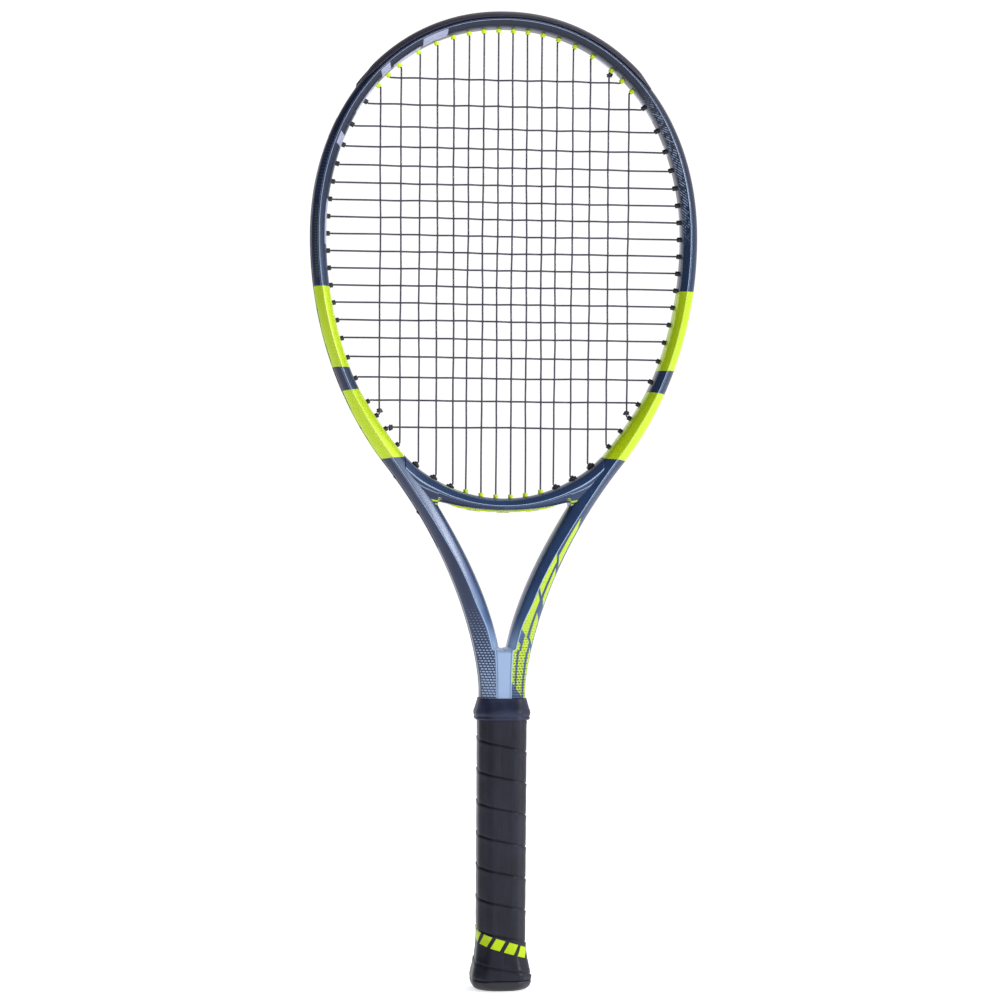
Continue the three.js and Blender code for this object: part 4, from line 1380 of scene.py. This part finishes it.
# A string's run over the bed: it waves over and under the others, and wanders a little in the bed.
def wavyRun(start, end, meetings, wave, firstSign, sampler):
    axis = (end - start).normalized()
    length = (end - start).length
    marks = sorted((m - start).dot(axis) for m in meetings)
    count = max(2, round(length / stringSizes["sampleStep"]))
    phases = (sampler.uniform(0, 6.3), sampler.uniform(0, 6.3))
    slow, quick = stringSizes["wanderWaves"]
    sideways = axis.cross(Vector((0, 1, 0)))
    run = []
    for k in range(1, count):
        d = length * k / count
        y = 0.0
        if marks:
            if d <= marks[0]:
                y = firstSign * wave * smoothstep(d, 0, marks[0])
            elif d >= marks[-1]:
                last = firstSign * (-1) ** (len(marks) - 1)
                y = last * wave * smoothstep(length - d, 0, length - marks[-1])
            else:
                n = max(i for i, m in enumerate(marks) if m <= d)
                t = (d - marks[n]) / (marks[n + 1] - marks[n])
                y = firstSign * (-1) ** n * wave * math.cos(math.pi * t)
        share = math.sin(math.pi * d / length)
        waves = math.sin(d / slow + phases[0]) + 0.6 * math.sin(d / quick + phases[1])
        drift = stringSizes["wander"] * share * waves
        run.append(start + axis * d + Vector((0, y, 0)) + sideways * drift)
    return run


# Which crosses a main meets, and where.
def meetingsOfMain(i):
    low, high = bendPoint(mainLows[i - 1]).z + 1, bendPoint(headMains[i - 1]).z - 1
    found = []
    for j in range(1, stringSizes["crosses"] + 1):
        if mainX(i) < bendPoint(crosses[j - 1]).x - 1 and low < crossZ(j) < high:
            found.append(j)
    return found


def signAt(mainNumber, crossNumber):
    return 1 if (mainNumber + crossNumber) % 2 == 0 else -1


mainNumbers = [-i for i in range(mainsPerSide, 0, -1)] + list(range(1, mainsPerSide + 1))
mainRank = {number: rank for rank, number in enumerate(mainNumbers)}


def mainPathOf(side, sampler):
    path = []
    for i in range(1, mainsPerSide + 1):
        low, high = mainLows[i - 1], headMains[i - 1]
        if i == 1:
            path += wayOut(low, Vector((0, 0, low["seat"].z)), stringSizes["loopSide"])[::-1]
        rank = mainRank[i * side]
        met = meetingsOfMain(i)
        start, end = bendPoint(low), bendPoint(high)
        meetings = [Vector((mainX(i), 0, crossZ(j))) for j in reversed(met)]
        run = wavyRun(start, end, meetings, -stringSizes["mainWave"], signAt(rank, met[-1]), sampler)
        upward = i % 2 == 1
        path += run if upward else run[::-1]
        if i < mainsPerSide:
            a, b = (high, headMains[i]) if upward else (low, mainLows[i])
            path += loopBetween(a, b, stringSizes["loopSide"])
        else:
            path += wayOut(low, mainLows[i - 2]["seat"], stringSizes["loopSide"])
    return [Vector((p.x * side, p.y, p.z)) for p in path]


def crossPathAll(sampler):
    path = []
    total = stringSizes["crosses"]
    side = -stringSizes["loopSide"]
    for j in range(1, total + 1):
        barrel = crosses[j - 1]
        reach = bendPoint(barrel)
        start, end = mirrored(reach), reach
        met = [n for n in mainNumbers if mainX(abs(n)) < reach.x - 1]
        meetings = [Vector((math.copysign(mainX(abs(n)), n), 0, crossZ(j))) for n in met]
        firstSign = signAt(mainRank[met[0]], j)
        run = wavyRun(start, end, meetings, stringSizes["crossWave"], firstSign, sampler)
        leftward = j % 2 == 1
        if j == 1:
            path += wayOut(barrel, crosses[1]["seat"], side)[::-1]
        path += run[::-1] if leftward else run
        if j < total:
            turn = loopBetween(barrel, crosses[j], side)
            path += [mirrored(p) for p in turn] if leftward else turn
        else:
            path += [mirrored(p) for p in wayOut(barrel, crosses[j - 2]["seat"], side)]
    return path


# Three tight turns of string round itself, with a cut tail.
def knotPath(barrel, target, distance, side):
    start = bendPoint(barrel)
    axis = (target - start).normalized()
    centre = start + axis * distance
    across = axis.cross(Vector((0, 1, 0)))
    turns = []
    s = stringSizes
    for k in range(s["knotSteps"] + 1):
        share = k / s["knotSteps"]
        a = share * s["knotTurns"] * 2 * math.pi
        spread = s["knotRadius"] + 0.18 * math.sin(a * 0.5)
        swing = across * (spread * math.cos(a)) + Vector((0, spread * math.sin(a), 0))
        turns.append(centre + axis * ((share - 0.5) * s["knotLength"]) + swing)
    turns.append(turns[-1] + across * 1.2 - axis * 2.2)
    return [Vector((p.x * side, p.y, p.z)) for p in turns]


def pathMesh(name, paths):
    points, edges = [], []
    for path in paths:
        kept = [path[0]]
        for p in path[1:]:
            if (p - kept[-1]).length > 0.12:
                kept.append(p)
        edges += [(len(points) + i, len(points) + i + 1) for i in range(len(kept) - 1)]
        points += [p * mm for p in kept]
    mesh = bpy.data.meshes.new(name)
    mesh.from_pydata(points, edges, [])
    return mesh


def makeStrings():
    sampler = random.Random(11)
    settings = {"Radius": stringSizes["radius"] * mm, "Sides": stringSizes["sides"], "Finish": stringCoat}
    right = mainPathOf(1, sampler)
    left = mainPathOf(-1, sampler)
    low = mainLows[-1]
    upward = Vector((mainX(mainsPerSide), 0, headMains[-1]["tip"].z))
    knots = [knotPath(low, upward, 2.4, side) for side in (1, -1)]
    mains = pathMesh("mainPaths", [left[::-1] + right] + knots)
    mesh = bakeTree("main_strings", mains, stringTree, settings)
    makePiece("main_strings", mesh, stringCoat, "main_string")

    topKnot = knotPath(headMains[6], Vector((mainX(7), 0, crossZ(3))), 1.6, 1)
    lastKnot = knotPath(crosses[-1], Vector((0, 0, crossZ(stringSizes["crosses"]))), 1.8, -1)
    runs = pathMesh("crossPaths", [crossPathAll(sampler), topKnot, lastKnot])
    mesh = bakeTree("cross_strings", runs, stringTree, settings)
    makePiece("cross_strings", mesh, stringCoat, "cross_string")


makeStrings()


gripBox = boxOf("grip")

gripSizes = {
    "halfWidth": 17.1,
    "halfDepth": 15.3,
    "bevel": 8,
    "thickness": 1.8,
    "topZ": gripBox[1].z,
    "bottomZ": gripBox[0].z,
    "flareTopZ": 37,
    "flareOut": gripBox[1].x - 17.1,
    "pitch": 22.2,
    "seamStartZ": 171,
    "lip": 0.42,
    "tuck": 0.6,
    "columns": 120,
    "corner": 3.2,
    "innerRings": 8,
    # Places of the rings in one turn, close together at the seam
    "phases": (0, 0.012, 0.03, 0.06, 0.12, 0.25, 0.4, 0.55, 0.7, 0.8, 0.86, 0.9, 0.93, 0.955, 0.975, 0.99),
    # How far down the flare, and how much of it is reached there
    "flareRows": ((0, 0), (0.2, 0.07), (0.45, 0.28), (0.65, 0.56), (0.8, 0.81), (0.92, 0.96), (1, 1)),
}

markSizes = {
    "middleZ": 31.5,
    "height": 8,
    "slope": 0.3,
    "lean": 4,
    "pitch": 9.2,
    "share": 0.7,
    "left": -32,
    "right": 28,
}


# A rounded octagon as (x, y, distance round it), starting at the middle of the front side.
def octagonRing(halfX, halfY, bevel, corner, count):
    b = bevel
    corners = [(halfX - b, -halfY), (halfX, -halfY + b), (halfX, halfY - b), (halfX - b, halfY),
               (-halfX + b, halfY), (-halfX, halfY - b), (-halfX, -halfY + b), (-halfX + b, -halfY)]
    outline = roundCorners([(x, y, corner, 5, 0) for x, y in corners])
    flat = [Vector((0, -halfY))] + [Vector(p[:2]) for p in outline] + [Vector((0, -halfY))]
    lengths = [0]
    for i in range(1, len(flat)):
        lengths.append(lengths[-1] + (flat[i] - flat[i - 1]).length)
    ring = []
    k = 0
    for i in range(count):
        goal = lengths[-1] * i / count
        while lengths[k + 1] < goal:
            k += 1
        t = (goal - lengths[k]) / max(lengths[k + 1] - lengths[k], 1e-9)
        p = flat[k].lerp(flat[k + 1], t)
        ring.append((p.x, p.y, goal))
    return ring


def flareAt(z):
    g = gripSizes
    t = min(1, max(0, (g["flareTopZ"] - z) / (g["flareTopZ"] - g["bottomZ"])))
    rows = g["flareRows"]
    for (a, low), (b, high) in zip(rows, rows[1:]):
        if t <= b:
            return g["flareOut"] * lerp(low, high, smoothstep(t, a, b) * 0.4 + (t - a) / (b - a) * 0.6)
    return g["flareOut"]


# How far the leather stands out at a place in one turn: a raised lower edge over a tuck.
def wrapHeight(phase):
    g = gripSizes
    lip = g["lip"] * math.exp(-((phase - 0.93) / 0.055) ** 2)
    crown = 0.16 * math.sin(math.pi * phase) ** 0.7
    tuck = g["tuck"] * (math.exp(-(phase / 0.022) ** 2) + math.exp(-((1 - phase) / 0.012) ** 2))
    return crown + lip - tuck


def makeGrip():
    g = gripSizes
    count = g["columns"]
    phases = g["phases"]
    perTurn = len(phases)
    turns = math.ceil((g["topZ"] - g["bottomZ"]) / g["pitch"]) + 2
    firstZ = g["seamStartZ"] + 1.5 * g["pitch"]
    while firstZ < g["topZ"] + g["pitch"]:
        firstZ += g["pitch"]

    def ringAt(out):
        return octagonRing(g["halfWidth"] + out, g["halfDepth"] + out, g["bevel"], g["corner"], count)

    girth = ringAt(0)[-1][2] * count / (count - 1)
    rows = (turns + 2) * perTurn
    points, around = [], []
    rings = {}
    for r in range(rows + 1):
        turn, place = divmod(r, perTurn)
        for i in range(count):
            z = firstZ - (turn + phases[place] + i / count) * g["pitch"]
            inside = g["bottomZ"] <= z <= g["topZ"]
            flat = min(max(z, g["bottomZ"]), g["topZ"])
            edge = min(1, (flat - g["bottomZ"]) / 1.2, (g["topZ"] - flat) / 1.2)
            bulge = wrapHeight(1 - phases[place]) if inside else 0
            out = round(flareAt(flat), 2)
            if out not in rings:
                # The columns start at the middle of the back.
                ring = ringAt(out)
                rings[out] = ring[count // 2:] + ring[:count // 2]
            x, y, _ = rings[out][i]
            normal = Vector((x, y * g["halfWidth"] / g["halfDepth"])).normalized()
            step = bulge * max(edge, 0) - 0.12
            points.append((x + normal.x * step, y + normal.y * step, flat))
            around.append(girth * i / count)

    # The last column joins the first one a turn further down, so the sheet winds down the handle.
    faces = []
    for r in range(rows):
        for i in range(count):
            if i < count - 1:
                quad = (r * count + i, r * count + i + 1, (r + 1) * count + i + 1, (r + 1) * count + i)
            elif r + perTurn + 1 <= rows:
                quad = (r * count + i, (r + perTurn) * count, (r + perTurn + 1) * count, (r + 1) * count + i)
            else:
                continue
            faces.append(quad)
    mesh = buildMesh("grip_leather", points, faces, {"around": around})
    work = bmesh.new()
    work.from_mesh(mesh)
    low, high = g["bottomZ"] * mm, g["topZ"] * mm
    flatFaces = [
        f for f in work.faces
        if any(all(abs(v.co.z - level) < 1e-7 for v in f.verts) for level in (low, high))]
    bmesh.ops.delete(work, geom=flatFaces, context="FACES")
    loose = [v for v in work.verts if not v.link_faces]
    bmesh.ops.delete(work, geom=loose, context="VERTS")
    bmesh.ops.remove_doubles(work, verts=work.verts[:], dist=2e-6)

    # The inside follows the flare.
    inner = []
    last = g["innerRings"]
    for level in [high] + [lerp(g["flareTopZ"], g["bottomZ"], i / last) * mm for i in range(last + 1)]:
        ring = ringAt(flareAt(level / mm) - g["thickness"])
        inner.append([work.verts.new((x * mm, y * mm, level)) for x, y, _ in ring])
    for upper, lower in zip(inner, inner[1:]):
        for i in range(count):
            j = (i + 1) % count
            work.faces.new((upper[i], upper[j], lower[j], lower[i]))
    work.edges.ensure_lookup_table()
    rims = [e for e in work.edges if len(e.link_faces) == 1]
    for level in (high, low):
        rim = [e for e in rims if all(abs(v.co.z - level) < 1e-6 for v in e.verts)]
        bmesh.ops.bridge_loops(work, edges=rim)
    bmesh.ops.recalc_face_normals(work, faces=work.faces)
    for face in work.faces:
        face.smooth = True
    work.to_mesh(mesh)
    work.free()
    makePiece("grip_leather", mesh, makeGripFinish(girth), "grip")


# Dark polyurethane with a fine grain, faint lighter vertical lines of painted sheen, and plain lime slashes
# near the butt
def makeGripFinish(girth):
    f = Finish("gripPolyurethane")
    place = f.place()
    around = f.attribute("around")
    _, y, z = f.split(place)
    grain = f.noise(place, 1.9, 4.0, 0.65)
    pores = f.fade(f.cells(place, 0.75), 0.22, 0.1)
    # Painted sheen: lighter vertical bands along the handle
    sheenStreaks = f.noise(f.join(around * 0.5, z * 0.03), 1.0, 3.0)
    color = f.mix(f.fade(f.noise(place, 0.05, 4.0), 0.35, 0.7), tone("11131f"), tone("1a1c2b"))
    color = f.mix(f.fade(sheenStreaks, 0.45, 0.75, 0.0, 0.3), color, tone("292c42"))

    # The slashes sit on a line that drops to the right, like the wrap.
    m = markSizes
    fromMiddle = around - girth / 2
    level = z - m["middleZ"] + fromMiddle * m["slope"]
    slashes = f.stripes(around - level * (m["lean"] / m["height"]), m["pitch"], m["share"], 0.02)
    tallBand = f.band(level, -m["height"] / 2, m["height"] / 2, 0.18)
    front = f.band(fromMiddle, m["left"], m["right"], 0.5) * f.fade(y, 5, 3)
    color = f.mix(tallBand * slashes * front, color, paint["lime"])
    f.bump(grain * 0.7 - pores * 0.5, 0.35, 0.00035)
    return f.done(Base_Color=color, Roughness=grain * 0.2 + 0.3, Specular_IOR_Level=0.26)


makeGrip()


collarBox = boxOf("grip_collar")

collarSizes = {
    "topZ": collarBox[1].z,
    "bottomZ": collarBox[0].z,
    "wideX": collarBox[1].x,
    "wideY": collarBox[1].y,
    "snugX": 16.4,
    "snugY": 12.5,
    # The bead at the foot: height above it, and how far it stands in from the widest ring
    "beadRows": ((3.6, 0.12), (2.7, 0.5), (2.3, 0.62), (1.9, 0.42), (1.1, 0.3), (0.3, 0.55), (0, 0.9)),
    "columns": 120,
}


# Matte rubber, slightly dusty, with faint mould lines round it
def makeRubber():
    f = Finish("collarRubber")
    place = f.place()
    grain = f.noise(place, 1.6, 4.0)
    lines = f.stripes(f.split(place)[2], 1.1, 0.2, 0.15)
    f.bump(grain + lines * 0.12, 0.18, 0.0003)
    return f.done(
        Base_Color=f.mix(f.fade(f.noise(place, 0.1, 3.0), 0.35, 0.7), tone("151a30"), tone("212845")),
        Roughness=grain * 0.16 + 0.44,
        Specular_IOR_Level=0.35,
    )


# Rows of (z, half width, half depth, bevel), down the outside and back up the bore.
def makeCollar():
    c = collarSizes
    top, low = c["topZ"], c["bottomZ"]
    lipX, lipY = c["snugX"] + 0.55, c["snugY"] + 0.55
    boreX, boreY = c["wideX"] - 1.25, c["wideY"] - 1.25
    rows = [
        (top - 0.15, c["snugX"] + 0.15, c["snugY"] + 0.15, 5.2),
        (top, c["snugX"] + 0.3, c["snugY"] + 0.3, 5.2),
        (top - 0.15, lipX - 0.1, lipY - 0.1, 5.2),
        (top - 0.6, lipX, lipY, 5.3),
        (top - 2.2, lipX + 0.35, lipY + 0.6, 5.6),
        (top - 4.4, lipX + 1.0, lipY + 1.7, 6.4),
        (top - 6.6, c["wideX"] - 0.95, c["wideY"] - 1.2, 7.4),
        (top - 8.4, c["wideX"] - 0.2, c["wideY"] - 0.3, 8),
        (top - 10, c["wideX"], c["wideY"], 8),
        *[(low + up, c["wideX"] - inset, c["wideY"] - inset, 8) for up, inset in c["beadRows"]],
        (low + 0.1, boreX, boreY, 8),
        (low + 6.2, boreX, boreY, 8),
        (top - 3.5, c["snugX"], c["snugY"], 5.2),
    ]
    rings = []
    for z, halfX, halfY, bevel in rows:
        rings.append([(x, y, z) for x, y, _ in octagonRing(halfX, halfY, bevel, 3.4, c["columns"])])
    mesh = ringMesh("rubber_collar", rings, closed=True)
    makePiece("rubber_collar", mesh, makeRubber(), "grip_collar", body="collar")


makeCollar()


capSizes = {
    "sleeveZ": 35,
    "wall": 3.2,
    "inset": 2.1,
    "step": 1,
    "plugHalfX": 7.0,
    "plugHalfY": 5.0,
    "roundHeight": 6.2,
    "roundReach": 5.6,
    "roundSteps": 8,
    "flareLevels": (30, 24, 18, 13, 10),
    "columns": 120,
}


def makeButtCap(material):
    c = capSizes
    g = gripSizes
    halfX, halfY = g["halfWidth"] - c["inset"], g["halfDepth"] - c["inset"]
    rimX, rimY = g["halfWidth"] + g["flareOut"] - 0.2, g["halfDepth"] + g["flareOut"] - 0.2
    count = c["columns"]
    rings = []

    def addRing(z, hx, hy, bevel=g["bevel"], corner=g["corner"]):
        rings.append([(x, y, z) for x, y, _ in octagonRing(hx, hy, bevel, corner, count)])

    addRing(c["sleeveZ"], halfX, halfY)
    for z in c["flareLevels"]:
        out = flareAt(z) * 0.98
        addRing(z, halfX + out, halfY + out)
    addRing(g["bottomZ"] - 0.3, halfX + g["flareOut"], halfY + g["flareOut"])
    addRing(g["bottomZ"] - 0.32, rimX - 0.6, rimY - 0.6)
    addRing(g["bottomZ"] - 0.6, rimX - 0.1, rimY - 0.1)
    for step in range(c["roundSteps"] + 1):
        a = step / c["roundSteps"] * math.pi / 2
        z = c["roundHeight"] * (1 - math.sin(a))
        out = c["roundReach"] * (1 - math.cos(a))
        addRing(z, rimX - out, rimY - out, corner=g["corner"] + step * 0.35)
    for z, half in ((0, 0.6), (0.25, 0.1), (0.6, 0), (c["wall"], 0)):
        addRing(z, c["plugHalfX"] + half, c["plugHalfY"] + half, 0.01, 1.2)
    innerX, innerY = halfX - c["step"] + 0.3, halfY - c["step"] + 0.3
    addRing(c["wall"], innerX, innerY)
    addRing(c["sleeveZ"], innerX, innerY)
    mesh = ringMesh("butt_cap_visual", rings, closed=True)
    makePiece("butt_cap_visual", mesh, material, "butt_cap")


buttPlastic = makeNylon("buttPlastic", tone("15161f"), tone("2a2c3c"), 0.4)
makeButtCap(buttPlastic)


def makeFoamFinish():
    f = Finish("foamCore")
    bubbles = f.cells(f.place(), 0.9)
    f.bump(bubbles, 0.5, 0.0006)
    return f.done(Base_Color=f.mix(f.fade(bubbles, 0.1, 0.7), tone("6d675c"), tone("a8a192")), Roughness=0.9)


def makeSteelFinish():
    f = Finish("stapleSteel")
    drawn = f.noise(f.place(), 3.0, 3.0)
    f.bump(drawn, 0.1, 0.0002)
    return f.done(
        Base_Color=f.mix(f.fade(drawn, 0.3, 0.7), tone("a8acb2"), tone("cfd2d6")),
        Metallic=1.0,
        Roughness=f.fade(drawn, 0.3, 0.7, 0.24, 0.38),
    )


def makeTapeFinish():
    f = Finish("finishingTape")
    x, y, z = f.split(f.place())
    weave = f.stripes(z, 0.6, 0.6, 0.2) * f.stripes(x + y, 0.6, 0.6, 0.2)
    f.bump(weave, 0.3, 0.0002)
    return f.done(Base_Color=f.mix(weave, tone("202124"), tone("3a3b40")), Roughness=0.65)


def paintNodes(material, names):
    for name in names:
        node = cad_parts[name]
        for slot in node.material_slots:
            slot.material = material


paintNodes(makeFoamFinish(), ["handle_foam"])
paintNodes(makeSteelFinish(), ["butt_staple_front", "butt_staple_back", "grip_staple"])
paintNodes(makeTapeFinish(), ["finishing_tape"])
paintNodes(buttPlastic, ["butt_plug"])
print("every piece has its finish")
